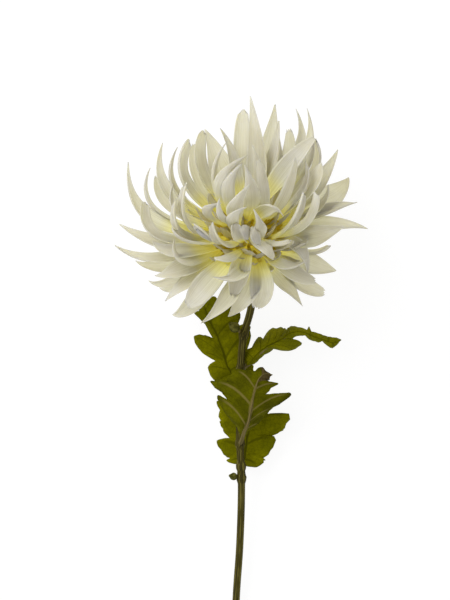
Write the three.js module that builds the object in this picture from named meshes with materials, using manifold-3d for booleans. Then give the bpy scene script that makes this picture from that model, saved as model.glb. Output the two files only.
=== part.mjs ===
// A cut chrysanthemum lying on a table: a large shaggy white flower head on a trimmed stem,
// with four lobed leaves and two small side buds.
// Millimetres, +Z up. The stem runs along Y with the head at the +Y end, and the flower opens
// towards +Y and up, as it does when it lies on its back petals and on the cut end of its stem.
// The origin is the middle of the bounding box's base, so z = 0 is the table.

import * as THREE from "three";
import { mergeVertices } from "three/addons/utils/BufferGeometryUtils.js";
import { ParametricGeometry } from "three/addons/geometries/ParametricGeometry.js";
import Module from "manifold-3d";

const wasm = await Module();
wasm.setup();
const { Manifold, Mesh: SolidMesh } = wasm;

// ---- Driving dimensions ----

const HEAD_WIDTH = 151; // across the widest petal tips
const RECEPTACLE_RADIUS = 11;
const INVOLUCRE_LENGTH = 18; // from the middle of the receptacle to the neck of the stem
const INVOLUCRE_THICKNESS = 1.4;
const STEM_LENGTH = 250; // from the neck to the cut, along Y
const STEM_DIAMETER = 4.6;
const NODE_DIAMETER = 6.6; // the swelling of the stem where a leaf or a bud stands
const PETAL_THICKNESS = 0.9;
const FLORET_SEAT = 1; // how deep the inner florets are rooted in the receptacle
const CLAW_WIDTH = 3.2; // a petal where it leaves the receptacle
const LEAF_LENGTH = 56; // along the midrib, for the size that LEAVES is drawn at
const LEAF_HALF_WIDTH = 21; // midrib to the tip of the longest lobe
const LEAF_THICKNESS = 1;
const PETIOLE_DIAMETER = 2.6;
const BUD_LENGTH = 10;
const BUD_DIAMETER = 6;
const CLEARANCE = 0.3; // left between every two touching pieces

// ---- Frame of the flower head ----

const PLAN_WIDTH = 151; // the head width that the petal plan is drawn for
const PLAN_HEART_HEIGHT = 48; // the heart above the table in the petal plan
const SPREAD = HEAD_WIDTH / PLAN_WIDTH;
const FACING = new THREE.Vector3(0, 0.8, 0.6); // the way the flower faces
const HEART = new THREE.Vector3(0, 0, PLAN_HEART_HEIGHT * SPREAD); // middle of the receptacle
const NECK = HEART.clone().addScaledVector(FACING, -INVOLUCRE_LENGTH);

// ---- Petal plan ----
// One row for each petal, in millimetres from the heart: right, towards the top of the head,
// and up from the table. [tip, point passed half way, width, cup, roll in degrees]
// Cup is how deep the petal's trough is, as a share of its width.

const OUTER_PETALS = [
  // left flank, from the lowest to the highest
  [[-48, -36, 12], [-32, -25, 18], 14, 0.16, 10],
  [[-44, -44, 4], [-30, -34, 10], 13, 0.14, 0],
  [[-35, -39, 22], [-24, -25, 26], 16, 0.1, -10],
  [[-54, -21, 14], [-36, -18, 18], 14, 0.22, -20],
  [[-58, -24, 0], [-40, -23, 3], 9, 0.2, -25],
  [[-52, -28, -9], [-36, -26, -7], 9, 0.2, 0],
  [[-66, -12, -6], [-45, -14, -4], 12, 0.2, -30],
  [[-78, -3, 2], [-48, -10, 6], 13, 0.2, 0],
  [[-75, 9, 8], [-47, -5, 13], 15, 0.24, -15],
  [[-60, 22, 13], [-48, 1, 15], 10, 0.34, -10],
  [[-70, 46, 0], [-58, 12, 2], 13, 0.24, -20],
  [[-57, 43, -5], [-50, 16, -4], 12, 0.16, 20],
  [[-54, 39, -16], [-42, 17, -15], 10, 0.2, 0],
  [[-50, 58, -8], [-43, 27, -10], 9, 0.24, -20],
  [[-41, 55, -1], [-42, 28, -3], 10, 0.2, 30],
  // crown
  [[-34, 59, 6], [-35, 31, 7], 14, 0.24, 0],
  [[-31, 58, -17], [-27, 34, -19], 12, 0.16, 0],
  [[-26, 65, -4], [-26, 38, -6], 13, 0.22, 25],
  [[-25, 67, -22], [-16, 41, -22], 19, 0.12, 10],
  [[-16, 67, -13], [-8, 43, -15], 9, 0.24, 0],
  [[-2, 79, -20], [-1, 43, -20], 11, 0.2, 0],
  [[2, 86, -11], [8, 46, -13], 17, 0.18, -15],
  [[17, 82, -22], [16, 46, -22], 20, 0.14, 0],
  [[19, 71, -8], [15, 44, -8], 14, 0.2, -20],
  [[25, 67, -18], [24, 40, -18], 11, 0.16, 0],
  [[29, 78, -6], [32, 48, -9], 11, 0.26, 25],
  [[36, 79, -14], [35, 46, -17], 11, 0.2, 0],
  [[40, 60, 2], [24, 41, 3], 14, 0.18, 15],
  [[41, 61, -17], [38, 36, -18], 11, 0.24, -20],
  // right flank, from the highest to the lowest
  [[54, 54, -9], [39, 29, -8], 15, 0.16, 0],
  [[43, 45, 6], [34, 27, 5], 17, 0.14, 20],
  [[61, 38, -20], [44, 25, -21], 19, 0.12, 15],
  [[66, 23, -16], [44, 16, -15], 13, 0.2, 0],
  [[48, 33, -3], [40, 17, -3], 8, 0.2, 0],
  [[72, 7, -12], [46, 8, -11], 15, 0.18, 0],
  [[57, 8, 0], [38, 1, 1], 17, 0.14, 10],
  [[50, -3, -11], [36, -8, -9], 11, 0.2, -20],
  [[53, -18, -8], [36, -14, -3], 16, 0.16, 10],
  [[46, -31, -5], [30, -24, 1], 13, 0.2, 0],
  [[40, -24, 10], [24, -19, 15], 12, 0.22, 0],
  [[33, -39, -2], [19, -24, 6], 14, 0.18, 0],
  // skirt in front of the stem
  [[5, -40, 18], [8, -27, 24], 15, 0.16, 0],
  [[-11, -45, 16], [0, -29, 21], 15, 0.16, -10],
  [[-27, -49, 19], [-10, -33, 24], 12, 0.24, -10],
];

const BACK_PETALS = [
  [[-58, 6, -42], [-36, -4, -31], 13, 0.16, 0],
  [[-47, 36, -45], [-30, 14, -37], 14, 0.16, 0],
  [[-22, 52, -46], [-14, 24, -41], 14, 0.16, 0],
  [[8, 60, -46], [6, 28, -42], 15, 0.16, 0],
  [[36, 48, -45], [22, 22, -40], 14, 0.16, 0],
  [[54, 14, -43], [34, 4, -34], 13, 0.16, 0],
  [[40, -22, -36], [24, -20, -24], 12, 0.16, 0],
];

const INNER_FLORETS = [
  // left of the heart
  [[-35, 32, 34], [-33, 8, 31], 11, 0.22, 180],
  [[-41, 23, 32], [-37, 4, 29], 11, 0.22, 180],
  [[-43, 33, 10], [-38, 14, 12], 8, 0.2, 0],
  [[-55, -1, 19], [-38, -7, 22], 14, 0.18, 0],
  [[-43, 6, 27], [-32, -2, 28], 12, 0.2, 0],
  [[-42, 0, 27], [-34, -11, 23], 10, 0.2, 180],
  [[-30, 7, 38], [-22, 0, 35], 9, 0.24, 0],
  // above the heart
  [[-12, 57, 12], [-20, 32, 13], 10, 0.24, 0],
  [[0, 48, 29], [-19, 31, 28], 14, 0.3, 0],
  [[-3, 43, 35], [-12, 25, 35], 12, 0.24, 0],
  [[3, 54, 24], [7, 28, 26], 10, 0.24, 0],
  [[6, 45, 33], [11, 23, 32], 9, 0.3, 0],
  [[-2, 42, 41], [2, 22, 38], 12, 0.22, 0],
  [[1, 30, 50], [-7, 15, 44], 11, 0.2, 0],
  // right of the heart
  [[29, 47, 15], [22, 21, 19], 17, 0.22, 0],
  [[34, 46, 5], [30, 25, 8], 12, 0.2, 0],
  [[32, 27, 29], [25, 9, 27], 10, 0.28, 180],
  [[39, 27, 22], [31, 9, 20], 11, 0.28, 180],
  [[25, -1, 34], [16, -4, 28], 11, 0.2, 0],
  [[35, -21, 4], [28, -5, 10], 17, 0.16, 0],
  [[35, -12, 18], [20, -16, 23], 11, 0.22, 0],
  // the young florets that curl over the heart
  [[20, 12, 46], [10, 16, 42], 10, 0.28, 130],
  [[3, 16, 53], [6, 3, 46], 9, 0.28, 0],
  [[6, -4, 48], [4, 5, 45], 8, 0.34, 180],
  [[0, -1, 49], [-2, 6, 46], 7, 0.34, 180],
  [[-20, 9, 47], [-13, -2, 40], 10, 0.3, 180],
  [[-15, 20, 41], [-23, 13, 35], 10, 0.24, 0],
  [[-16, 22, 51], [-14, 11, 46], 7, 0.24, 0],
  [[-19, -11, 43], [-11, -10, 36], 10, 0.28, 180],
  [[-31, 8, 43], [-22, 0, 38], 8, 0.3, 180],
  [[-7, 8, 51], [-5, 0, 43], 8, 0.3, 180],
  [[-1, 17, 56], [-9, 8, 49], 9, 0.24, 0],
  [[15, -10, 42], [8, -3, 41], 12, 0.24, 160],
  [[23, -1, 41], [13, -2, 38], 9, 0.28, 180],
  [[-20, -22, 33], [-5, -22, 35], 11, 0.26, 0],
  [[-8, -33, 25], [-5, -18, 30], 13, 0.16, 0],
];

// ---- Leaf plan ----
// Each leaf is measured in millimetres from the heart, as the petals are: right, towards the
// head and up. down is the distance of its place on the stem below the neck, and the stalk
// starts there. Each rib is [its foot on the midrib, its end on the left, its end on the right].
// Long ribs run out to the tips of lobes, and short ones to the notches between them.

const PLAN_LEAF_LENGTH = 56; // what the leaves below are drawn for
const PLAN_LEAF_HALF_WIDTH = 21;
const LEAVES = [
  {
    name: "leaf_upper_left",
    down: 72,
    stalk: [[-3, -86, -30], [-4.5, -84.5, -34]],
    ribs: [
      [[-6, -83, -35], [-8, -84, -35], [-4, -82, -35]],
      [[-8, -80, -36], [-17, -85, -35], [3, -82, -35]],
      [[-9, -78, -36], [-23, -76, -33], [5, -75, -33]],
      [[-11, -75, -36], [-18, -72, -35], [-1, -71, -35]],
      [[-11.5, -73, -36], [-26, -67, -32], [1, -66, -33]],
      [[-12, -71, -36], [-31.5, -57, -29], [3, -55, -31]],
      [[-14, -65, -35], [-25, -56.5, -31], [1, -50, -31]],
      [[-16, -60, -34], [-19.5, -58.5, -34], [-6, -52, -33]],
      [[-17, -57, -34], [-24, -50, -32], [-3, -46, -31]],
      [[-19, -53, -33], [-28, -46, -30], [-6, -40, -29]],
      [[-21, -49, -32], [-30.5, -43.5, -28], [-10, -36, -27]],
      [[-23, -44, -30], [-27.5, -42, -29], [-16, -36, -27]],
      [[-24, -41, -29], [-30, -39.5, -27], [-19, -33, -26]],
    ],
    tip: [-25, -36, -27],
  },
  {
    name: "leaf_right",
    down: 63,
    stalk: [[-1.5, -77, -29], [2, -74.5, -28]],
    ribs: [
      [[5, -72, -27], [0.6, -70.5, -29], [6, -74, -28]],
      [[6, -70.5, -26], [0, -66.5, -31], [9, -71, -28]],
      [[8, -68, -25], [5, -64, -30], [12.5, -68, -28]],
      [[10, -66, -24], [9, -57.5, -32], [14, -67, -28]],
      [[12, -64.5, -23], [11.5, -58.8, -29], [17.5, -64.5, -27]],
      [[14, -63, -22], [15.5, -53.2, -31], [23, -65.5, -28]],
      [[17, -61.5, -21], [20, -52.3, -31], [29, -65.3, -29]],
      [[20, -60, -21], [24.5, -52.2, -30], [35.5, -60.8, -29]],
      [[23, -58.5, -21], [25.8, -53, -27], [31, -58.8, -26]],
      [[25, -57, -21], [27.5, -51.3, -27], [27.7, -58.3, -23]],
      [[28, -55, -21], [29.5, -50.5, -26], [31, -56.6, -24]],
      [[33, -54, -22], [33, -51.2, -26], [34, -56.3, -25]],
      [[38, -55, -24], [38.5, -53.4, -26], [37.5, -56.6, -27]],
      [[40, -56, -24], [40.2, -51, -28], [40.5, -58.8, -28]],
      [[41.5, -56.6, -25], [41.2, -54.2, -27], [44, -60, -29]],
      [[45, -57.8, -26], [45.6, -55.4, -28], [46.6, -60.8, -30]],
      [[48, -59, -28], [49, -57, -29], [48.3, -60, -30]],
      [[51, -60, -30], [51.5, -57.5, -31], [51.2, -62.6, -32]],
      [[54, -60.7, -31], [55, -57.9, -32], [54.4, -64.4, -33]],
      [[56.5, -60.5, -32], [57.5, -58.3, -33], [57.4, -62.4, -34]],
    ],
    tip: [59.5, -59.2, -33],
  },
  {
    name: "leaf_front",
    down: 108,
    stalk: [[-4, -122, -34], [-3.5, -121, -31]],
    ribs: [
      [[-2.5, -118, -28], [-4, -117, -28], [-1, -118, -28]],
      [[-2, -116, -26], [-6, -113, -28], [0.5, -115, -27]],
      [[-1, -113, -24], [-13.6, -103, -27], [6.6, -110, -26]],
      [[0, -111, -23], [-17.8, -93.4, -26], [11, -104, -25]],
      [[1, -108, -21], [-11.3, -95.8, -22], [15.3, -100.4, -23]],
      [[1.8, -104.5, -20], [-15, -91, -24], [20, -97.5, -22]],
      [[2.2, -102, -19], [-19.5, -88, -25], [26.5, -91.7, -23]],
      [[3, -98, -18], [-20, -84, -25], [20, -91.6, -20]],
      [[3.8, -94, -17], [-12, -84, -21], [10.8, -92, -18]],
      [[4.3, -91, -16], [-9, -80, -20], [14, -88, -18]],
      [[5, -88, -16], [-7, -77, -20], [18.7, -85.4, -19]],
      [[5.9, -85, -15], [0, -77.5, -17], [13, -84, -17]],
      [[7, -82, -15], [5, -77.5, -15], [12, -83, -17]],
      [[9.5, -79.5, -15], [9.4, -75, -15], [13.6, -83, -16]],
      [[12, -79, -16], [11.5, -77, -16], [14, -81, -16]],
    ],
    tip: [15.2, -79.8, -17],
  },
  {
    name: "leaf_lower_back",
    down: 122,
    stalk: [[-3.5, -136, -35], [-3, -135.5, -38]],
    ribs: [
      [[-2, -134, -39], [-5, -135, -39], [2, -136, -39]],
      [[-1.5, -132, -40], [-11.9, -133, -39], [6.6, -136.2, -39]],
      [[-1.2, -131, -40], [-10.5, -131.5, -40], [10.6, -132.8, -38]],
      [[-1, -129, -40], [-14.3, -128, -39], [10.1, -131, -39]],
      [[-0.8, -127, -41], [-17.9, -120.4, -37], [14.6, -126.5, -38]],
      [[-0.3, -123, -41], [-10.5, -119.2, -40], [16.9, -118.5, -37]],
      [[0, -120, -41], [-14.3, -113.6, -39], [13.9, -118.2, -39]],
      [[0.5, -117, -41], [-15.7, -108.4, -38], [20, -115.3, -38]],
      [[1, -114, -41], [-16.2, -102, -37], [23, -112, -37]],
      [[1.5, -111, -41], [-17, -96, -36], [25.1, -104.2, -35]],
      [[2, -107, -40], [-10, -97, -38], [12.2, -105.6, -38]],
      [[2.5, -102, -39], [-9, -91, -37], [14, -96, -36]],
      [[3, -97, -38], [-3, -90, -37], [9, -92, -36]],
    ],
    tip: [4, -87, -36],
  },
];

// ---- Stem and bud plan ----
// The stem's course: [share of its length below the neck, millimetres right, share of the
// neck's height above the table].

const STEM_COURSE = [
  [0, 0, 1],
  [0.09, 3, 0.72],
  [0.18, -2.2, 0.56],
  [0.32, -4, 0.43],
  [0.42, -4, 0.35],
  [0.53, -3, 0.27],
  [0.68, -4, 0.17],
  [0.8, -6, 0.09],
  [1, -8, 0],
];
const STEM_STEPS = 30;
const STEM_SIDES = 8;
const NODE_STACKS = 5;

const BUDS = [
  { name: "side_bud_upper", down: 42, lean: [-0.75, 0.62, 0.25], size: 1 },
  { name: "side_bud_lower", down: 129, lean: [-0.9, 0.2, 0.3], size: 0.7 },
];
const BUD_STALK_RADIUS = 1;
const BUD_SIDES = 8;
// A bud's outline: [share of its length, share of its radius]. It is a plain stalk up to the
// shoulder and comes to a point above the last row.
const BUD_SHOULDER = 0.35;
const BUD_OUTLINE = [[0.6, 1], [0.85, 0.8]];

// ---- Materials ----

const PETAL_WHITE = { color: 0xe4decb, roughness: 0.6, metalness: 0 };
const LEAF_GREEN = { color: 0x56570c, roughness: 0.55, metalness: 0 };
const STEM_GREEN = { color: 0x4f4a17, roughness: 0.6, metalness: 0 };
const BRACT_GREEN = { color: 0x7b7843, roughness: 0.6, metalness: 0 };

// ---- Solids ----

const MERGE_DISTANCE = 1e-4;
const vector = ([x, y, z]) => new THREE.Vector3(x, y, z);

// A closed skin becomes a solid once its seams and poles are merged.
function solidOf(geometry) {
  const bare = new THREE.BufferGeometry();
  bare.setAttribute("position", geometry.getAttribute("position"));
  bare.setIndex(geometry.getIndex());
  const merged = mergeVertices(bare, MERGE_DISTANCE);
  const corners = merged.getIndex().array;
  const kept = [];
  for (let i = 0; i < corners.length; i += 3) {
    const [a, b, c] = corners.slice(i, i + 3);
    if (a !== b && b !== c && c !== a) {
      kept.push(a, b, c);
    }
  }
  return new Manifold(
    new SolidMesh({
      numProp: 3,
      vertProperties: new Float32Array(merged.getAttribute("position").array),
      triVerts: new Uint32Array(kept),
    }),
  );
}

// A skin whose point at (around, along), both 0 to 1, is given by place.
function closedSkin(place, slices, stacks) {
  return solidOf(new ParametricGeometry((u, v, target) => target.copy(place(u, v)), slices, stacks));
}

function largestPart(solid) {
  const parts = solid.decompose();
  parts.sort((a, b) => b.volume() - a.volume());
  return parts[0];
}

function tube(curve, radius, steps, sides) {
  const section = new THREE.Shape();
  for (let i = 0; i < sides; i += 1) {
    const angle = (2 * Math.PI * i) / sides;
    const x = radius * Math.cos(angle);
    const y = radius * Math.sin(angle);
    if (i === 0) {
      section.moveTo(x, y);
    } else {
      section.lineTo(x, y);
    }
  }
  section.closePath();
  return solidOf(new THREE.ExtrudeGeometry(section, { steps, extrudePath: curve }));
}

// A lathe's profile turned about its own axis, stood at a point with that axis along a direction.
function turned(profile, sides, point, direction) {
  const points = profile.map(([radius, height]) => new THREE.Vector2(radius, height));
  const geometry = new THREE.LatheGeometry(points, sides);
  const turn = new THREE.Quaternion().setFromUnitVectors(new THREE.Vector3(0, 1, 0), direction);
  geometry.applyQuaternion(turn);
  geometry.translate(point.x, point.y, point.z);
  return solidOf(geometry);
}

function ball(centre, radius, slices, stacks) {
  const geometry = new THREE.SphereGeometry(radius, slices, stacks);
  geometry.translate(centre.x, centre.y, centre.z);
  return solidOf(geometry);
}

// ---- Petals ----

const RIM = -0.3; // the furthest back that a petal leaves the receptacle, along FACING
const BASE_SPACING = 4; // between the middles of two claws
const SETTLING_ROUNDS = 60;
const WIDEST = 0.58; // share of a petal's length
const TIP_FULLNESS = 1.8; // how full a petal stays between its widest place and its tip
const PETAL_RINGS = 7;
const FLAT = 0.35; // share of a petal's width at the bottom of its trough
// across the petal from one edge to the other over its inner face, and back under it
const RING = [[-1, 0], [-FLAT, 1], [FLAT, 1], [1, 0], [FLAT, -1], [-FLAT, -1]];

function petalOf([tip, via, width, cup, roll]) {
  const petal = {
    tip: vector(tip).multiplyScalar(SPREAD),
    via: vector(via).multiplyScalar(SPREAD),
    width: width * SPREAD,
    cup,
    roll: THREE.MathUtils.degToRad(roll),
  };
  petal.root = petal.via.clone().multiplyScalar(2).addScaledVector(petal.tip, -0.5);
  keepAheadOfRim(petal.root);
  return petal;
}

// The root of a petal lies on the receptacle, never behind its rim.
function keepAheadOfRim(root) {
  root.normalize();
  const ahead = root.dot(FACING);
  if (ahead < RIM) {
    root.addScaledVector(FACING, RIM - ahead);
  }
  root.setLength(RECEPTACLE_RADIUS + CLEARANCE);
}

// Neighbouring roots push each other apart until no two claws share a place.
function settleRoots(petals) {
  for (let round = 0; round < SETTLING_ROUNDS; round += 1) {
    petals.forEach((one, i) => {
      petals.slice(i + 1).forEach((other) => {
        const apart = one.root.clone().sub(other.root);
        const missing = BASE_SPACING - apart.length();
        if (missing > 0) {
          apart.setLength(missing / 2);
          one.root.add(apart);
          other.root.sub(apart);
          keepAheadOfRim(one.root);
          keepAheadOfRim(other.root);
        }
      });
    });
  }
}

function petalWidth(petal, along) {
  if (along < WIDEST) {
    const rise = THREE.MathUtils.smoothstep(along, 0, WIDEST);
    return THREE.MathUtils.lerp(CLAW_WIDTH, petal.width, rise);
  }
  const fall = (along - WIDEST) / (1 - WIDEST);
  return petal.width * (1 - fall ** TIP_FULLNESS);
}

// The petal's spine, with its inner face's normal and its sideways direction at each station.
function petalFrames(petal) {
  const bend = petal.via.clone().multiplyScalar(2);
  bend.addScaledVector(petal.root, -0.5).addScaledVector(petal.tip, -0.5);
  const spine = new THREE.QuadraticBezierCurve3(petal.root, bend, petal.tip);
  const frames = [];
  const normal = FACING.clone();
  for (let i = 0; i <= PETAL_RINGS; i += 1) {
    const along = i / PETAL_RINGS;
    const point = spine.getPoint(along).add(HEART);
    const forward = spine.getTangent(along);
    normal.addScaledVector(forward, -normal.dot(forward)).normalize();
    const inner = normal.clone().applyAxisAngle(forward, petal.roll);
    frames.push({ along, point, forward, inner, across: forward.clone().cross(inner) });
  }
  return frames;
}

function petalSolid(petal, grow) {
  const frames = petalFrames(petal);
  const place = (around, along) => {
    const i = Math.round(along * PETAL_RINGS);
    const { point, forward, inner, across } = frames[i];
    if (i === 0 || i === PETAL_RINGS) {
      return point.clone().addScaledVector(forward, i === 0 ? -grow : grow);
    }
    const [side, face] = RING[Math.round(around * RING.length) % RING.length];
    const half = petalWidth(petal, along) / 2;
    const rise = 2 * petal.cup * side * side * (half + grow / (1 - FLAT));
    const lift = rise + face * (PETAL_THICKNESS / 2 + grow);
    return point
      .clone()
      .addScaledVector(across, side * (half + grow))
      .addScaledVector(inner, lift);
  };
  return closedSkin(place, RING.length, PETAL_RINGS);
}

// ---- Stem, buds and receptacle ----

const INVOLUCRE_RINGS = 4;
const HEAD_SIDES = 14; // round the involucre and the receptacle
const HEAD_STACKS = 10;
const FOOT_ANGLE = THREE.MathUtils.degToRad(35); // from the flower's axis, at the back
const RIM_ANGLE = THREE.MathUtils.degToRad(65);
const SEARCH_END = 1e-6; // share of the stem
const stemRadius = STEM_DIAMETER / 2;
const stemCurve = new THREE.CatmullRomCurve3(
  STEM_COURSE.map(([share, right, height]) => {
    const z = THREE.MathUtils.lerp(stemRadius, NECK.z, height);
    return new THREE.Vector3(NECK.x + right, NECK.y - share * STEM_LENGTH, z);
  }),
);

// The point of the stem's centre line at a distance below the neck, along Y.
function onStem(down) {
  let low = 0;
  let high = 1;
  while (high - low > SEARCH_END) {
    const middle = (low + high) / 2;
    if (stemCurve.getPoint(middle).y > NECK.y - down) {
      low = middle;
    } else {
      high = middle;
    }
  }
  return stemCurve.getPoint(low);
}

function stemSolid(grow) {
  const swellings = [...LEAVES, ...BUDS].map(({ down }) =>
    ball(onStem(down), NODE_DIAMETER / 2 + grow, STEM_SIDES, NODE_STACKS));
  const shaft = tube(stemCurve, stemRadius + grow, STEM_STEPS, STEM_SIDES);
  return swellings.reduce((whole, swelling) => whole.add(swelling), shaft);
}

// A round cup of bracts that holds the receptacle from behind, and tapers to the stem's neck.
function involucreSolid(grow) {
  const inside = RECEPTACLE_RADIUS + CLEARANCE - grow;
  const outside = inside + INVOLUCRE_THICKNESS + 2 * grow;
  const foot = -INVOLUCRE_LENGTH + CLEARANCE - grow;
  const profile = [[0, foot], [stemRadius + INVOLUCRE_THICKNESS + grow, foot]];
  for (let i = 0; i <= INVOLUCRE_RINGS; i += 1) {
    const angle = THREE.MathUtils.lerp(FOOT_ANGLE, RIM_ANGLE, i / INVOLUCRE_RINGS);
    profile.push([outside * Math.sin(angle), -outside * Math.cos(angle)]);
  }
  for (let i = 0; i <= INVOLUCRE_RINGS; i += 1) {
    const angle = RIM_ANGLE * (1 - i / INVOLUCRE_RINGS);
    profile.push([inside * Math.sin(angle), -inside * Math.cos(angle)]);
  }
  return turned(profile, HEAD_SIDES, HEART, FACING);
}

// The young florets in the middle stand close together and grow out of the receptacle itself.
function heartSolid(florets) {
  florets.forEach((floret) => floret.root.setLength(RECEPTACLE_RADIUS - FLORET_SEAT));
  return florets.reduce(
    (whole, floret) => whole.add(petalSolid(floret, 0)),
    ball(HEART, RECEPTACLE_RADIUS, HEAD_SIDES, HEAD_STACKS),
  );
}

function budSolid(bud, grow) {
  const lean = vector(bud.lean).normalize();
  const start = onStem(bud.down);
  const length = BUD_LENGTH * bud.size;
  const radius = (BUD_DIAMETER / 2) * bud.size;
  const profile = [
    [0, -grow],
    [BUD_STALK_RADIUS + grow, -grow],
    [BUD_STALK_RADIUS + grow, length * BUD_SHOULDER],
    ...BUD_OUTLINE.map(([along, out]) => [radius * out + grow, length * along]),
    [0, length + stemRadius + grow],
  ];
  return turned(profile, BUD_SIDES, start, lean);
}

// ---- Leaves ----

const STALK_STEPS = 6;
const STALK_SIDES = 6;
// the ring runs over the upper face from the left edge to the right, and back underneath
const LEAF_RING = [[-1, 0], [-0.5, 1], [0, 1], [0.5, 1], [1, 0], [0.5, -1], [0, -1], [-0.5, -1]];

// A leaf's stalk and ribs, moved to its place on the stem and stretched to its size.
function leafOf({ down, stalk, ribs, tip }) {
  const planned = vector(stalk[0]);
  const start = onStem(down);
  const stretch = LEAF_LENGTH / PLAN_LEAF_LENGTH;
  const widen = LEAF_HALF_WIDTH / PLAN_LEAF_HALF_WIDTH;
  const moved = (point) => vector(point).sub(planned).multiplyScalar(stretch).add(start);
  return {
    stalk: stalk.map(moved),
    tip: moved(tip),
    ribs: ribs.map((rib) => {
      const [foot, left, right] = rib.map(moved);
      return {
        foot,
        left: left.sub(foot).multiplyScalar(widen),
        right: right.sub(foot).multiplyScalar(widen),
      };
    }),
  };
}

function leafSolid(plan, grow) {
  const { stalk, tip, ribs } = leafOf(plan);
  const feet = [stalk.at(-1), ...ribs.map(({ foot }) => foot), tip];
  const rings = ribs.length + 1;
  const place = (around, along) => {
    const i = Math.round(along * rings);
    const forward = feet[Math.min(i + 1, rings)].clone().sub(feet[Math.max(i - 1, 0)]);
    forward.normalize();
    if (i === 0 || i === rings) {
      return feet[i].clone().addScaledVector(forward, i === 0 ? -grow : grow);
    }
    const { foot, left, right } = ribs[i - 1];
    const [side, face] = LEAF_RING[Math.round(around * LEAF_RING.length) % LEAF_RING.length];
    const reach = side < 0 ? left : right;
    const out = Math.abs(side) * (1 + grow / reach.length());
    const upward = right.clone().sub(left).cross(forward).normalize();
    return foot
      .clone()
      .addScaledVector(reach, out)
      .addScaledVector(upward, face * (LEAF_THICKNESS / 2 + grow));
  };
  const blade = closedSkin(place, LEAF_RING.length, rings);
  const stalkCurve = new THREE.CatmullRomCurve3([...stalk, ribs[0].foot, ribs[1].foot]);
  return blade.add(tube(stalkCurve, PETIOLE_DIAMETER / 2 + grow, STALK_STEPS, STALK_SIDES));
}

// ---- Assembly ----

const flower = new THREE.Group();
const placed = [];

function meshOf(name, solid, look) {
  const skin = solid.getMesh();
  const geometry = new THREE.BufferGeometry();
  geometry.setAttribute("position", new THREE.BufferAttribute(skin.vertProperties, 3));
  geometry.setIndex(new THREE.BufferAttribute(skin.triVerts, 1));
  geometry.computeVertexNormals();
  const mesh = new THREE.Mesh(geometry, new THREE.MeshStandardMaterial(look));
  mesh.name = name;
  return mesh;
}

// Each piece makes room for the pieces placed before it: shape(grow) is its solid with that
// much added all round, which is what later pieces are cut by.
function add(name, look, shape) {
  let solid = shape(0);
  placed.forEach((room) => {
    if (solid.intersect(room).volume() > 0) {
      solid = largestPart(solid.subtract(room));
    }
  });
  placed.push(shape(CLEARANCE));
  flower.add(meshOf(name, solid, look));
}

const numbered = (name, i) => `${name}_${String(i + 1).padStart(2, "0")}`;
const outer = OUTER_PETALS.map(petalOf);
const back = BACK_PETALS.map(petalOf);
const florets = INNER_FLORETS.map(petalOf);
settleRoots([...outer, ...back, ...florets]);

add("stem", STEM_GREEN, stemSolid);
add("involucre", BRACT_GREEN, involucreSolid);
outer.forEach((petal, i) => {
  add(numbered("outer_petal", i), PETAL_WHITE, (grow) => petalSolid(petal, grow));
});
back.forEach((petal, i) => {
  add(numbered("back_petal", i), PETAL_WHITE, (grow) => petalSolid(petal, grow));
});
add("receptacle_with_florets", PETAL_WHITE, () => heartSolid(florets));
LEAVES.forEach((leaf) => add(leaf.name, LEAF_GREEN, (grow) => leafSolid(leaf, grow)));
BUDS.forEach((bud) => add(bud.name, BRACT_GREEN, (grow) => budSolid(bud, grow)));

// The origin is put under the middle of the whole, on the table.
const box = new THREE.Box3().setFromObject(flower);
flower.position.set(-(box.min.x + box.max.x) / 2, -(box.min.y + box.max.y) / 2, -box.min.z);

export default flower;
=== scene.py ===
# %% [markdown]
# # A cut chrysanthemum
# The flower lies on its back petals and on the cut end of its stem. The CAD model is loaded
# first, as a frame that gives every place and size, and each of its plain solids is then
# replaced by a finished piece that follows the same spine. Petals, leaves and stem are thin
# living things, so each one starts as a flat primitive, is shaped in edit mode, and is then
# laid along its spine.

# %% Load the frame
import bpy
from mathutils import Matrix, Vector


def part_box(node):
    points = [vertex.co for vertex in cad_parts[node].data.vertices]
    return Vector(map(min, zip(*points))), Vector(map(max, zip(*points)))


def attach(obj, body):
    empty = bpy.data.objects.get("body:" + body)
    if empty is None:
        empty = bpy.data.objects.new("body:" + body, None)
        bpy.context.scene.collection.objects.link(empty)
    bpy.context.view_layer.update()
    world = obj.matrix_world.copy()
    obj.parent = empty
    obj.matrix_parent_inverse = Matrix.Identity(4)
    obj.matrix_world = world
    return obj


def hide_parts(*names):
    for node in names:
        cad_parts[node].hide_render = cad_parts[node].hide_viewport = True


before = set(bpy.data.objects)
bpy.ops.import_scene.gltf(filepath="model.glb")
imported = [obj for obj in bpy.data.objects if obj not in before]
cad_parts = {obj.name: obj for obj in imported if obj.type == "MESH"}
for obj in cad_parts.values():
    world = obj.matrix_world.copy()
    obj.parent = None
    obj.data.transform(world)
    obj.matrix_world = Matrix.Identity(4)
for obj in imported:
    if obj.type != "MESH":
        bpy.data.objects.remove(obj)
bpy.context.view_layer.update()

# %% Libraries, units and the heart of the head
import math
import random

import bpy
from mathutils import Matrix, Quaternion, Vector

MM = 0.001
RECEPTACLE_RADIUS = 11
INVOLUCRE_LENGTH = 18
FACING = Vector((0, 0.8, 0.6))
CUP_TO_HEART = Vector((0, 6.9, 3.8)) * MM

cup_low, cup_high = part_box("involucre")
HEART = (cup_low + cup_high) / 2 + CUP_TO_HEART
NECK = HEART - FACING * INVOLUCRE_LENGTH * MM
print("heart of the head at", [round(v, 4) for v in HEART])

# %% [markdown]
# ## Camera, floor and light
# The flower is looked at from straight above, as it would be laid out on a studio table to be
# recorded. A long lens keeps its proportions true. The table is a sheet of white acrylic lit
# from below, so it is as bright as the paper round a botanical plate and takes hardly any
# shadow. A large soft lamp on the left and a bright surround light the flower itself.

# %% Camera
VIEW_CENTRE = Vector((-13, -35.4, 0)) * MM
CAMERA_HEIGHT = 1.25
VIEW_HEIGHT = 0.354
SENSOR = 36

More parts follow.
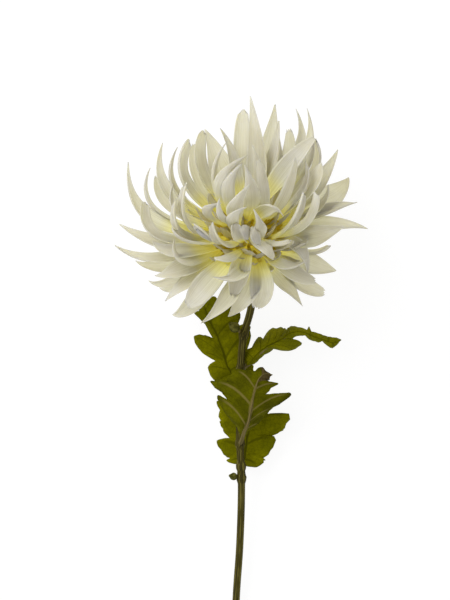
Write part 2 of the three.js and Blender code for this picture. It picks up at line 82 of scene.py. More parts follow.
camera_data = bpy.data.cameras.new("camera")
camera_data.sensor_width = SENSOR
camera_data.lens = SENSOR * CAMERA_HEIGHT / VIEW_HEIGHT
camera = bpy.data.objects.new("camera", camera_data)
camera.location = HEART + VIEW_CENTRE + Vector((0, 0, CAMERA_HEIGHT))
bpy.context.scene.collection.objects.link(camera)
bpy.context.scene.camera = camera
print("lens", round(camera_data.lens, 1), "mm")

# %% Colours and nodes
def srgb(hex_colour):
    """A hex colour as linear red, green, blue and alpha."""
    parts = [int(hex_colour[i:i + 2], 16) / 255 for i in (1, 3, 5)]
    linear = [p / 12.92 if p <= 0.04045 else ((p + 0.055) / 1.055) ** 2.4 for p in parts]
    return (*linear, 1.0)


def set_stops(colour_ramp, stops):
    """Gives a colour ramp soft steps between stops of (position, hex colour)."""
    colour_ramp.interpolation = "EASE"
    while len(colour_ramp.elements) < len(stops):
        colour_ramp.elements.new(1.0)
    for element, (position, colour) in zip(colour_ramp.elements, stops):
        element.position = position
        element.color = srgb(colour)


def add_node(tree, kind, settings=None, links=None):
    """Adds one node, with its settings and the links to its inputs."""
    node = tree.nodes.new(kind)
    for name, value in (settings or {}).items():
        if name == "stops":
            set_stops(node.color_ramp, value)
        elif isinstance(name, int) or name in node.inputs:
            node.inputs[name].default_value = value
        else:
            setattr(node, name, value)
    for name, source in (links or {}).items():
        tree.links.new(source, node.inputs[name])
    return node


def new_material(name):
    """An empty material, its node tree and its output node."""
    material = bpy.data.materials.new(name)
    material.use_nodes = True
    material.node_tree.nodes.clear()
    output = add_node(material.node_tree, "ShaderNodeOutputMaterial")
    return material, material.node_tree, output


print("mid grey is", [round(value, 3) for value in srgb("#808080")])


# %% Selecting pieces and points
def deselect_all():
    """Deselects every object, so that an operator acts on nothing else."""
    for obj in list(bpy.context.selected_objects):
        obj.select_set(False)


def make_active(obj):
    """Selects one piece alone, for the operators that act on the active one."""
    deselect_all()
    obj.select_set(True)
    bpy.context.view_layer.objects.active = obj


def select_points(obj, test):
    """Selects the vertices whose place passes a test, and leaves the piece in edit mode."""
    bpy.ops.object.mode_set(mode="EDIT")
    bpy.ops.mesh.select_mode(type="VERT")
    bpy.ops.mesh.select_all(action="DESELECT")
    bpy.ops.object.mode_set(mode="OBJECT")
    for vertex in obj.data.vertices:
        vertex.select = test(vertex.co)
    bpy.ops.object.mode_set(mode="EDIT")


deselect_all()
print("pieces selected:", len(bpy.context.selected_objects))


# %% Blending two values
def lerp(a, b, t):
    """The value a share t of the way from a to b."""
    return a + (b - a) * t


def smooth(t):
    """The share t, eased at both ends."""
    t = min(max(t, 0.0), 1.0)
    return t * t * (3 - 2 * t)


print("a quarter of the way, eased:", lerp(0, 1, smooth(0.25)))

# %% Floor
FLOOR_SIZE = 4.0
FLOOR_GLOW = 0.88
deselect_all()
bpy.ops.mesh.primitive_plane_add(size=FLOOR_SIZE, location=(0, 0, 0))
floor = bpy.context.object
floor.name = "floor"
acrylic, tree, output = new_material("white backlit acrylic")
shader = add_node(tree, "ShaderNodeBsdfPrincipled",
                  {"Base Color": srgb("#707070"), "Roughness": 0.9, "Specular IOR Level": 0.1,
                   "Emission Color": srgb("#ffffff"), "Emission Strength": FLOOR_GLOW})
tree.links.new(shader.outputs["BSDF"], output.inputs["Surface"])
floor.data.materials.append(acrylic)
print("floor", FLOOR_SIZE, "m across, glow", FLOOR_GLOW)

# %% Lamps
SURROUND = 0.66
KEY_POWER = 15
KEY_PLACE = Vector((-1.0, 0.8, 0.9))
KEY_SIZE = 1.1

world = bpy.data.worlds.new("studio")
bpy.context.scene.world = world
world.use_nodes = True
world.node_tree.nodes["Background"].inputs["Color"].default_value = srgb("#ffffff")
world.node_tree.nodes["Background"].inputs["Strength"].default_value = SURROUND

lamp_data = bpy.data.lights.new("key lamp", "AREA")
lamp_data.size = KEY_SIZE
lamp_data.energy = KEY_POWER
lamp = bpy.data.objects.new("key_lamp", lamp_data)
lamp.location = HEART + KEY_PLACE
lamp.rotation_euler = (-KEY_PLACE).to_track_quat("-Z", "Y").to_euler()
bpy.context.scene.collection.objects.link(lamp)
bpy.context.scene.view_settings.view_transform = "Standard"
print("key lamp", KEY_POWER, "W,", round(KEY_PLACE.length, 2), "m away; surround", SURROUND)

# %% [markdown]
# ## Petal tissue
# A chrysanthemum petal is a thin, soft, slightly translucent strap. It is cream white with a
# yellow claw, and fine veins run along it. The colour is read from the petal's own map, so it
# follows the spine: the map's second coordinate runs from the claw to the tip. Light passes
# through the tissue, so it has strong subsurface scattering. The claws crowd together, and the
# light that reaches them has passed through more petals than a renderer follows, so a faint
# yellow glow stands for it there.

# %% Petal material
PETAL_VEINS = 26  # veins and grooves across one petal
PETAL_STOPS = [  # from claw to tip
    (0.0, "#e2cc28"), (0.15, "#e2d64c"), (0.28, "#dcd694"),
    (0.44, "#d5d2ba"), (0.66, "#d0cbba"), (1.0, "#ccc8ba"),
]
THROAT_GLOW = [(0.0, "#a29a34"), (0.2, "#847e40"), (0.46, "#000000")]


def petal_tissue():
    """Thin soft tissue, coloured from claw to tip, with veins along it."""
    material, tree, output = new_material("chrysanthemum petal tissue")
    petal_map = add_node(tree, "ShaderNodeUVMap", {"uv_map": "petal_map"})
    split = add_node(tree, "ShaderNodeSeparateXYZ", links={"Vector": petal_map.outputs["UV"]})
    base = add_node(tree, "ShaderNodeValToRGB", {"stops": PETAL_STOPS}, {"Fac": split.outputs["Y"]})
    stretched = add_node(tree, "ShaderNodeMapping", {"Scale": (PETAL_VEINS, 1.3, 1.0)},
                         {"Vector": petal_map.outputs["UV"]})
    veins = add_node(tree, "ShaderNodeTexNoise", {"Scale": 1.0, "Detail": 3.0, "Roughness": 0.6},
                     {"Vector": stretched.outputs["Vector"]})
    streaks = add_node(tree, "ShaderNodeValToRGB", {"stops": [(0.3, "#dcd6c6"), (0.62, "#ffffff")]},
                       {"Fac": veins.outputs["Fac"]})
    tinted = add_node(tree, "ShaderNodeMix",
                      {"data_type": "RGBA", "blend_type": "MULTIPLY", 0: 0.6},
                      {6: base.outputs["Color"], 7: streaks.outputs["Color"]})
    place = add_node(tree, "ShaderNodeTexCoord")
    patches = add_node(tree, "ShaderNodeTexNoise", {"Scale": 55.0, "Detail": 2.0},
                       {"Vector": place.outputs["Object"]})
    shade = add_node(tree, "ShaderNodeValToRGB", {"stops": [(0.3, "#e2ded2"), (0.65, "#ffffff")]},
                     {"Fac": patches.outputs["Fac"]})
    patched = add_node(tree, "ShaderNodeMix",
                       {"data_type": "RGBA", "blend_type": "MULTIPLY", 0: 0.5},
                       {6: tinted.outputs[2], 7: shade.outputs["Color"]})
    bump = add_node(tree, "ShaderNodeBump", {"Strength": 0.4, "Distance": 0.0004},
                    {"Height": veins.outputs["Fac"]})
    glow = add_node(tree, "ShaderNodeValToRGB", {"stops": THROAT_GLOW}, {"Fac": split.outputs["Y"]})
    shader = add_node(tree, "ShaderNodeBsdfPrincipled",
                      {"Roughness": 0.62, "Specular IOR Level": 0.28, "Emission Strength": 0.6,
                       "Subsurface Weight": 0.9, "Subsurface Scale": 0.003,
                       "Subsurface Radius": (1.0, 0.95, 0.65)},
                      {"Base Color": patched.outputs[2], "Emission Color": glow.outputs["Color"],
                       "Normal": bump.outputs["Normal"]})
    tree.links.new(shader.outputs["BSDF"], output.inputs["Surface"])
    return material


PETAL_TISSUE = petal_tissue()
print("material:", PETAL_TISSUE.name)

# %% [markdown]
# ## Leaf blade, stalk and bract
# A chrysanthemum leaf is waxy and olive green. Its upper face has fine sunken veins, and the
# shade in their grooves is painted into its colour as a darker green. Its underside has raised,
# paler veins. The veins follow the leaf's own map: the midrib is where its first coordinate is
# a half, and a side vein runs at every whole number of the second. The stem is ridged, so its
# streaks follow the length of the straight tube that it is bent from, which is kept as an
# attribute.

# %% Leaf material
LEAF_NET_SCALE = 420  # cells in a metre: the finest veins are 2.4 mm apart


def leaf_skin(name, blade, shade, vein):
    """Waxy blade in two shades, with a fine net and a vein colour. Where the vein colour is darker
    than the blade, it is painted shade for sunken veins.
    """
    material, tree, output = new_material(name)
    leaf_map = add_node(tree, "ShaderNodeUVMap", {"uv_map": "leaf_map"})
    split = add_node(tree, "ShaderNodeSeparateXYZ", links={"Vector": leaf_map.outputs["UV"]})
    centred = add_node(tree, "ShaderNodeMath", {"operation": "SUBTRACT", 1: 0.5},
                       {0: split.outputs["X"]})
    across = add_node(tree, "ShaderNodeMath", {"operation": "ABSOLUTE"}, {0: centred.outputs[0]})
    midrib = add_node(tree, "ShaderNodeValToRGB",
                      {"stops": [(0.012, "#ffffff"), (0.035, "#000000")]},
                      {"Fac": across.outputs[0]})
    along = add_node(tree, "ShaderNodeMath", {"operation": "PINGPONG", 1: 0.5},
                     {0: split.outputs["Y"]})
    side_vein = add_node(tree, "ShaderNodeValToRGB",
                         {"stops": [(0.03, "#d0d0d0"), (0.085, "#000000")]},
                         {"Fac": along.outputs[0]})
    fade = add_node(tree, "ShaderNodeValToRGB", {"stops": [(0.3, "#ffffff"), (0.47, "#000000")]},
                    {"Fac": across.outputs[0]})
    faded = add_node(tree, "ShaderNodeMath", {"operation": "MULTIPLY"},
                     {0: side_vein.outputs["Color"], 1: fade.outputs["Color"]})
    veins = add_node(tree, "ShaderNodeMath", {"operation": "MAXIMUM"},
                     {0: midrib.outputs["Color"], 1: faded.outputs[0]})
    place = add_node(tree, "ShaderNodeTexCoord")
    patches = add_node(tree, "ShaderNodeTexNoise", {"Scale": 90.0, "Detail": 3.0},
                       {"Vector": place.outputs["Object"]})
    mottled = add_node(tree, "ShaderNodeValToRGB", {"stops": [(0.38, shade), (0.62, blade)]},
                       {"Fac": patches.outputs["Fac"]})
    net = add_node(tree, "ShaderNodeTexVoronoi",
                   {"feature": "DISTANCE_TO_EDGE", "Scale": LEAF_NET_SCALE},
                   {"Vector": place.outputs["Object"]})
    net_line = add_node(tree, "ShaderNodeValToRGB",
                        {"stops": [(0.0, "#dcdcdc"), (0.12, "#ffffff")]},
                        {"Fac": net.outputs["Distance"]})
    netted = add_node(tree, "ShaderNodeMix",
                      {"data_type": "RGBA", "blend_type": "MULTIPLY", 0: 0.7},
                      {6: mottled.outputs["Color"], 7: net_line.outputs["Color"]})
    coloured = add_node(tree, "ShaderNodeMix", {"data_type": "RGBA", 7: srgb(vein)},
                        {0: veins.outputs[0], 6: netted.outputs[2]})
    relief = add_node(tree, "ShaderNodeMath", {"operation": "ADD"},
                      {0: net_line.outputs["Color"], 1: patches.outputs["Fac"]})
    bump = add_node(tree, "ShaderNodeBump", {"Strength": 0.35, "Distance": 0.0003},
                    {"Height": relief.outputs[0]})
    shader = add_node(tree, "ShaderNodeBsdfPrincipled",
                      {"Roughness": 0.7, "Specular IOR Level": 0.03},
                      {"Base Color": coloured.outputs[2], "Normal": bump.outputs["Normal"]})
    tree.links.new(shader.outputs["BSDF"], output.inputs["Surface"])
    return material


# The upper face's vein colour is a darker copy of its green: painted shade in the sunken veins.
LEAF_UPPER = leaf_skin("waxy leaf blade, upper face", "#7a7900", "#686800", "#4e4e00")
LEAF_UNDER = leaf_skin("waxy leaf blade, underside", "#5e5e00", "#4c4c00", "#7f7240")
LEAF_TIP = leaf_skin("withered leaf tip", "#5c4e2c", "#4c4022", "#6a5a34")
print("materials:", [skin.name for skin in (LEAF_UPPER, LEAF_UNDER, LEAF_TIP)])


# %% Stem, bract and young floret materials
def streaked(name, stops, roughness):
    """Plant skin with streaks along the straight tube that the piece is bent from."""
    material, tree, output = new_material(name)
    straight = add_node(tree, "ShaderNodeAttribute", {"attribute_name": "straight"})
    stretched = add_node(tree, "ShaderNodeMapping", {"Scale": (1.1, 1.1, 0.05)},
                         {"Vector": straight.outputs["Vector"]})
    streaks = add_node(tree, "ShaderNodeTexNoise", {"Scale": 1.0, "Detail": 3.0, "Roughness": 0.65},
                       {"Vector": stretched.outputs["Vector"]})
    colour = add_node(tree, "ShaderNodeValToRGB", {"stops": stops}, {"Fac": streaks.outputs["Fac"]})
    bump = add_node(tree, "ShaderNodeBump", {"Strength": 0.5, "Distance": 0.0004},
                    {"Height": streaks.outputs["Fac"]})
    shader = add_node(tree, "ShaderNodeBsdfPrincipled",
                      {"Roughness": roughness, "Specular IOR Level": 0.12},
                      {"Base Color": colour.outputs["Color"], "Normal": bump.outputs["Normal"]})
    tree.links.new(shader.outputs["BSDF"], output.inputs["Surface"])
    return material


def mottled(name, stops, scale, roughness):
    """Plant skin with soft patches, scale of them in a metre."""
    material, tree, output = new_material(name)
    place = add_node(tree, "ShaderNodeTexCoord")
    patches = add_node(tree, "ShaderNodeTexNoise", {"Scale": scale, "Detail": 3.0},
                       {"Vector": place.outputs["Object"]})
    colour = add_node(tree, "ShaderNodeValToRGB", {"stops": stops}, {"Fac": patches.outputs["Fac"]})
    bump = add_node(tree, "ShaderNodeBump", {"Strength": 0.4, "Distance": 0.0003},
                    {"Height": patches.outputs["Fac"]})
    shader = add_node(tree, "ShaderNodeBsdfPrincipled",
                      {"Roughness": roughness, "Specular IOR Level": 0.12},
                      {"Base Color": colour.outputs["Color"], "Normal": bump.outputs["Normal"]})
    tree.links.new(shader.outputs["BSDF"], output.inputs["Surface"])
    return material


STEM_STOPS = [(0.36, "#2f2a0a"), (0.5, "#463f10"), (0.64, "#70692e")]
STEM_SKIN = streaked("ridged stem skin", STEM_STOPS, 0.6)
STALK_SKIN = streaked("leaf stalk skin", [(0.35, "#574d28"), (0.65, "#7f7142")], 0.6)
STEM_PITH = mottled("pale stem pith", [(0.4, "#a8a070"), (0.6, "#d8d2a8")], 900.0, 0.8)
BRACT_SKIN = mottled("downy green bract", [(0.38, "#40400a"), (0.62, "#6b682c")], 300.0, 0.7)
YOUNG_FLORET = mottled("young floret tissue", [(0.38, "#d8bc24"), (0.62, "#e8da62")], 250.0, 0.6)
skins = (STEM_SKIN, STALK_SKIN, STEM_PITH, BRACT_SKIN, YOUNG_FLORET)
print("materials:", [skin.name for skin in skins])

# %% [markdown]
# ## The petal plan
# Each row is one petal, measured in millimetres from the heart of the head: right, towards
# the top of the head, and up from the table. A row gives the tip, a point that the petal
# passes half way, its width, how deep its trough is as a share of the width, its roll in
# degrees, and for some the kind of end. The plan is the one that the CAD solids follow.

# %% Petal plan
OUTER_PETALS = [
    # left flank, from the lowest to the highest
    [(-48, -36, 12), (-32, -25, 18), 14, 0.16, 10, "pointed"],
    [(-44, -44, 4), (-30, -34, 10), 13, 0.14, 0, "pointed"],
    [(-35, -39, 22), (-24, -25, 26), 16, 0.1, -10, "toothed"],
    [(-54, -21, 14), (-36, -18, 18), 14, 0.22, -20, "pointed"],
    [(-58, -24, 0), (-40, -23, 3), 9, 0.2, -25, "pointed"],
    [(-52, -28, -9), (-36, -26, -7), 9, 0.2, 0, "pointed"],
    [(-66, -12, -6), (-45, -14, -4), 12, 0.2, -30, "pointed"],
    [(-78, -3, 2), (-48, -10, 6), 13, 0.2, 0, "pointed"],
    [(-75, 9, 8), (-47, -5, 13), 15, 0.24, -15, "pointed"],
    [(-60, 22, 13), (-48, 1, 15), 10, 0.34, -10, "rounded"],
    [(-70, 46, 0), (-58, 12, 2), 13, 0.24, -20, "pointed"],
    [(-57, 43, -5), (-50, 16, -4), 12, 0.16, 20, "pointed"],
    [(-54, 39, -16), (-42, 17, -15), 10, 0.2, 0, "toothed"],
    [(-50, 58, -8), (-43, 27, -10), 9, 0.24, -20, "pointed"],
    [(-41, 55, -1), (-42, 28, -3), 10, 0.2, 30, "pointed"],
    # crown
    [(-34, 59, 6), (-35, 31, 7), 14, 0.24, 0, "rounded"],
    [(-31, 58, -17), (-27, 34, -19), 12, 0.16, 0, "toothed"],
    [(-26, 65, -4), (-26, 38, -6), 13, 0.22, 25, "rounded"],
    [(-25, 67, -22), (-16, 41, -22), 19, 0.12, 10, "pointed"],
    [(-16, 67, -13), (-8, 43, -15), 9, 0.24, 0, "pointed"],
    [(-2, 79, -20), (-1, 43, -20), 11, 0.2, 0, "rounded"],
    [(2, 86, -11), (8, 46, -13), 17, 0.18, -15, "pointed"],
    [(17, 82, -22), (16, 46, -22), 20, 0.14, 0, "pointed"],
    [(19, 71, -8), (15, 44, -8), 14, 0.2, -20, "pointed"],
    [(25, 67, -18), (24, 40, -18), 11, 0.16, 0, "toothed"],
    [(29, 78, -6), (32, 48, -9), 11, 0.26, 25, "pointed"],
    [(36, 79, -14), (35, 46, -17), 11, 0.2, 0, "pointed"],
    [(40, 60, 2), (24, 41, 3), 14, 0.18, 15, "toothed"],
    [(41, 61, -17), (38, 36, -18), 11, 0.24, -20, "rounded"],
    # right flank, from the highest to the lowest
    [(54, 54, -9), (39, 29, -8), 15, 0.16, 0, "pointed"],
    [(43, 45, 6), (34, 27, 5), 17, 0.14, 20, "toothed"],
    [(61, 38, -20), (44, 25, -21), 19, 0.12, 15, "pointed"],
    [(66, 23, -16), (44, 16, -15), 13, 0.2, 0, "pointed"],
    [(48, 33, -3), (40, 17, -3), 8, 0.2, 0, "pointed"],
    [(72, 7, -12), (46, 8, -11), 15, 0.18, 0, "pointed"],
    [(57, 8, 0), (38, 1, 1), 17, 0.14, 10, "pointed"],
    [(50, -3, -11), (36, -8, -9), 11, 0.2, -20, "rounded"],
    [(53, -18, -8), (36, -14, -3), 16, 0.16, 10, "pointed"],
    [(46, -31, -5), (30, -24, 1), 13, 0.2, 0, "toothed"],
    [(40, -24, 10), (24, -19, 15), 12, 0.22, 0, "toothed"],
    [(33, -39, -2), (19, -24, 6), 14, 0.18, 0, "pointed"],
    # skirt in front of the stem
    [(5, -40, 18), (8, -27, 24), 15, 0.16, 0, "toothed"],
    [(-11, -45, 16), (0, -29, 21), 15, 0.16, -10, "pointed"],
    [(-27, -49, 19), (-10, -33, 24), 12, 0.24, -10, "pointed"],
]

BACK_PETALS = [
    [(-58, 6, -42), (-36, -4, -31), 13, 0.16, 0],
    [(-47, 36, -45), (-30, 14, -37), 14, 0.16, 0],
    [(-22, 52, -46), (-14, 24, -41), 14, 0.16, 0],
    [(8, 60, -46), (6, 28, -42), 15, 0.16, 0],
    [(36, 48, -45), (22, 22, -40), 14, 0.16, 0],
    [(54, 14, -43), (34, 4, -34), 13, 0.16, 0],
    [(40, -22, -36), (24, -20, -24), 12, 0.16, 0],
]

INNER_FLORETS = [
    # left of the heart
    [(-35, 32, 34), (-33, 8, 31), 11, 0.22, 180, "rounded"],
    [(-41, 23, 32), (-37, 4, 29), 11, 0.22, 180, "rounded"],
    [(-43, 33, 10), (-38, 14, 12), 8, 0.2, 0, "pointed"],
    [(-55, -1, 19), (-38, -7, 22), 14, 0.18, 0, "pointed"],
    [(-43, 6, 27), (-32, -2, 28), 12, 0.2, 0, "rounded"],
    [(-42, 0, 27), (-34, -11, 23), 10, 0.2, 180, "pointed"],
    [(-30, 7, 38), (-22, 0, 35), 9, 0.24, 0, "pointed"],
    # above the heart
    [(-12, 57, 12), (-20, 32, 13), 10, 0.24, 0, "pointed"],
    [(0, 48, 29), (-19, 31, 28), 14, 0.3, 0, "pointed"],
    [(-3, 43, 35), (-12, 25, 35), 12, 0.24, 0, "pointed"],
    [(3, 54, 24), (7, 28, 26), 10, 0.24, 0, "pointed"],
    [(6, 45, 33), (11, 23, 32), 9, 0.3, 0, "toothed"],
    [(-2, 42, 41), (2, 22, 38), 12, 0.22, 0, "pointed"],
    [(1, 30, 50), (-7, 15, 44), 11, 0.2, 0, "pointed"],
    # right of the heart
    [(29, 47, 15), (22, 21, 19), 17, 0.22, 0, "toothed"],
    [(34, 46, 5), (30, 25, 8), 12, 0.2, 0, "pointed"],
    [(32, 27, 29), (25, 9, 27), 10, 0.28, 180, "rounded"],
    [(39, 27, 22), (31, 9, 20), 11, 0.28, 180, "rounded"],
    [(25, -1, 34), (16, -4, 28), 11, 0.2, 0, "pointed"],
    [(35, -21, 4), (28, -5, 10), 17, 0.16, 0, "toothed"],
    [(35, -12, 18), (20, -16, 23), 11, 0.22, 0, "pointed"],
    # the young florets that curl over the heart
    [(20, 12, 46), (10, 16, 42), 10, 0.28, 130, "pointed"],
    [(3, 16, 53), (6, 3, 46), 9, 0.28, 0, "pointed"],
    [(6, -4, 48), (4, 5, 45), 8, 0.34, 180, "rounded"],
    [(0, -1, 49), (-2, 6, 46), 7, 0.34, 180, "rounded"],
    [(-20, 9, 47), (-13, -2, 40), 10, 0.3, 180, "rounded"],
    [(-15, 20, 41), (-23, 13, 35), 10, 0.24, 0, "pointed"],
    [(-16, 22, 51), (-14, 11, 46), 7, 0.24, 0, "pointed"],
    [(-19, -11, 43), (-11, -10, 36), 10, 0.28, 180, "rounded"],
    [(-31, 8, 43), (-22, 0, 38), 8, 0.3, 180, "rounded"],
    [(-7, 8, 51), (-5, 0, 43), 8, 0.3, 180, "rounded"],
    [(-1, 17, 56), (-9, 8, 49), 9, 0.24, 0, "pointed"],
    [(15, -10, 42), (8, -3, 41), 12, 0.24, 160, "rounded"],
    [(23, -1, 41), (13, -2, 38), 9, 0.28, 180, "rounded"],
    [(-20, -22, 33), (-5, -22, 35), 11, 0.26, 0, "pointed"],
    [(-8, -33, 25), (-5, -18, 30), 13, 0.16, 0, "toothed"],
]
print("petal plan:", [len(rows) for rows in (OUTER_PETALS, BACK_PETALS, INNER_FLORETS)], "rows")

# %% [markdown]
# ## Where the petals are rooted
# Every petal grows out of the round receptacle. Its root starts in line with the way the
# petal leaves, and then neighbouring roots push each other apart until no two share a place.

# %% Roots
CLEARANCE = 0.3
RIM = -0.3  # how far behind the heart roots can be, as a share of the radius
BASE_SPACING = 4
SETTLING_ROUNDS = 60


def keep_ahead_of_rim(root):
    """Puts a root on the receptacle, ahead of the rim that the bracts hold."""
    root.normalize()
    ahead = root.dot(FACING)
    if ahead < RIM:
        root += FACING * (RIM - ahead)
    root.normalize()
    root *= RECEPTACLE_RADIUS + CLEARANCE


def petal_from(row):
    """A petal's places, shape and root from its row of the plan."""
    tip, via, width, cup, roll = row[:5]
    petal = {"tip": Vector(tip), "via": Vector(via), "width": width, "cup": cup,
             "roll": math.radians(roll), "kind": row[5] if len(row) > 5 else None}
    petal["root"] = petal["via"] * 2 - petal["tip"] * 0.5
    keep_ahead_of_rim(petal["root"])
    return petal


def settle_roots(petals, fixed=0):
    """Pushes close roots apart. The first few, if fixed, keep their places."""
    for _ in range(SETTLING_ROUNDS):
        for i, one in enumerate(petals):
            for j in range(max(i + 1, fixed), len(petals)):
                apart = one["root"] - petals[j]["root"]
                missing = BASE_SPACING - apart.length
                if missing > 0:
                    step = apart.normalized() * missing / 2
                    petals[j]["root"] -= step
                    keep_ahead_of_rim(petals[j]["root"])
                    if i >= fixed:
                        one["root"] += step
                        keep_ahead_of_rim(one["root"])


outer_petals = [petal_from(row) for row in OUTER_PETALS]
back_petals = [petal_from(row) for row in BACK_PETALS]
inner_florets = [petal_from(row) for row in INNER_FLORETS]
planned = outer_petals + back_petals + inner_florets
settle_roots(planned)
print(len(planned), "planned petals, rooted on a", RECEPTACLE_RADIUS * 2, "mm receptacle")

# %% [markdown]
# ## One flat petal
# A petal could be drawn as a curve and extruded, but it needs long shallow grooves and a
# toothed or pointed end. So a grid is grooved column by column, given its outline row by row
# with the resize operator, and thickened with Solidify. The flat petal is modelled in
# millimetres, and each copy is stretched to its own width and length when it is laid.

# %% Flat petal
PETAL_GRID = (10, 24)
BRACT_GRID = (4, 8)
GROOVES = (-3, -1, 1, 3)
FLAT_WIDTH = 15
FLAT_LENGTH = 60
PETAL_THICKNESS = 0.32
GROOVE_DEPTH = 0.35
CLAW_SHARE = 0.5
WIDEST = 0.5
NEAR = 0.1  # points this close to a line belong to it
OUTLINES = {  # how full the sides stay towards the tip, how wide the tip is, how sharp it is
    "pointed": (1.35, 0.02, 1.0),
    "rounded": (3.0, 0.3, 0.5),
    "toothed": (2.0, 0.3, 1.0),
    "bract": (1.8, 0.12, 1.0),
}


def outline_share(t, kind):
    """Half width of the flat petal, as a share of the widest, from claw to tip."""
    fullness, end_share, sharpness = OUTLINES[kind]
    if t < WIDEST:
        return lerp(CLAW_SHARE, 1.0, smooth(t / WIDEST))
    fall = (t - WIDEST) / (1 - WIDEST)
    return end_share + (1 - end_share) * (1 - fall ** fullness) ** sharpness


def flat_petal(kind, columns, rows, grooves=(), teeth=()):
    """Models a flat petal of one kind. Grooves and teeth are given by column from the middle."""
    deselect_all()
    bpy.ops.mesh.primitive_grid_add(x_subdivisions=columns, y_subdivisions=rows,
                                    size=1, location=(0, 0, 0))
    petal = bpy.context.object
    petal.name = "flat " + kind
    petal.data.uv_layers[0].name = "petal_map"
    select_points(petal, lambda co: True)
    bpy.ops.transform.resize(value=(FLAT_WIDTH, FLAT_LENGTH, 1), center_override=(0, 0, 0))
    bpy.ops.transform.translate(value=(0, FLAT_LENGTH / 2, 0))
    for column in grooves:
        place = column * FLAT_WIDTH / columns
        select_points(petal, lambda co, place=place: abs(co.x - place) < NEAR)
        bpy.ops.transform.translate(value=(0, 0, -GROOVE_DEPTH))
    for row in range(rows + 1):
        t = row / rows
        y = t * FLAT_LENGTH
        select_points(petal, lambda co, y=y: abs(co.y - y) < NEAR)
        share = outline_share(t, kind)
        bpy.ops.transform.resize(value=(share, 1, share), center_override=(0, y, 0))
    for column, depth in teeth:
        place = column * FLAT_WIDTH / columns * OUTLINES[kind][1]
        select_points(petal, lambda co, place=place: co.y > FLAT_LENGTH - NEAR
                      and abs(abs(co.x) - place) < NEAR)
        bpy.ops.transform.translate(value=(0, -depth, 0))
    bpy.ops.object.mode_set(mode="OBJECT")
    skin = petal.modifiers.new("skin", "SOLIDIFY")
    skin.thickness = PETAL_THICKNESS
    skin.offset = 0
    bpy.ops.object.modifier_apply(modifier="skin")
    return petal


print("half width at the claw:", outline_share(0, "pointed") * FLAT_WIDTH / 2, "mm")

# %% The kinds of flat petal
ROUND_END = [(5, 1.6), (4, 0.9), (3, 0.4), (2, 0.1)]
TOOTHED_END = [(5, 2.2), (2, 1.8), (1, 0.5)]
FLAT_PETALS = {
    "pointed": flat_petal("pointed", *PETAL_GRID, GROOVES),
    "rounded": flat_petal("rounded", *PETAL_GRID, GROOVES, ROUND_END),
    "toothed": flat_petal("toothed", *PETAL_GRID, GROOVES, TOOTHED_END),
    "bract": flat_petal("bract", *BRACT_GRID),
}
print("flat petals:", [len(flat.data.polygons) for flat in FLAT_PETALS.values()], "faces each")

# %% [markdown]
# ## Laying a petal along its spine
# A lattice or a Curve modifier would stretch the petal's edges, and it can't roll the claw
# into a tube. So each point of a flat petal is moved in code: its distance along the flat
# petal picks a place on the spine, and its distance across is wrapped round an arc. The arc
# is tight at the claw, open in the middle and tighter again at the tip, as the real one is.

# %% A petal's spine and arc
CLAW_ARC = math.radians(160)
FLATTEST_ARC = 0.2
CLAW_ENDS = 0.4  # where along the petal the claw has opened
TIP_STARTS = 0.5  # where along the petal the tip starts to curl
HOOK_STARTS = 0.6
HOOK_BACK = 6  # brings a hooked petal's tip back to its planned place
WAVES = 8  # radians of an edge's ripple along the petal
EDGE_LAG = 2  # radians between the ripples of the two edges
STATIONS = 24
TABLE_GAP = 0.2
draw = random.Random(7)


def petal_frames(petal, facing):
    """Point, forward, inner and across directions at each station of a petal's spine."""
    root, tip = petal["root"], petal["tip"]
    bend = petal["via"] * 2 - root * 0.5 - tip * 0.5
    normal = facing.copy()
    frames = []
    for i in range(STATIONS + 1):
        t = i / STATIONS
        point = root * (1 - t) ** 2 + bend * 2 * t * (1 - t) + tip * t * t
        forward = ((bend - root) * (1 - t) + (tip - bend) * t).normalized()
        normal = (normal - forward * normal.dot(forward)).normalized()
        turn = petal["roll"] + petal.get("twist", 0.0) * t
        inner = Quaternion(forward, turn) @ normal
        frames.append((point, forward, inner, forward.cross(inner)))
    return frames


first_frames = petal_frames(outer_petals[0], FACING)
print("a petal's spine starts at", [round(v, 1) for v in first_frames[0][0]], "mm")


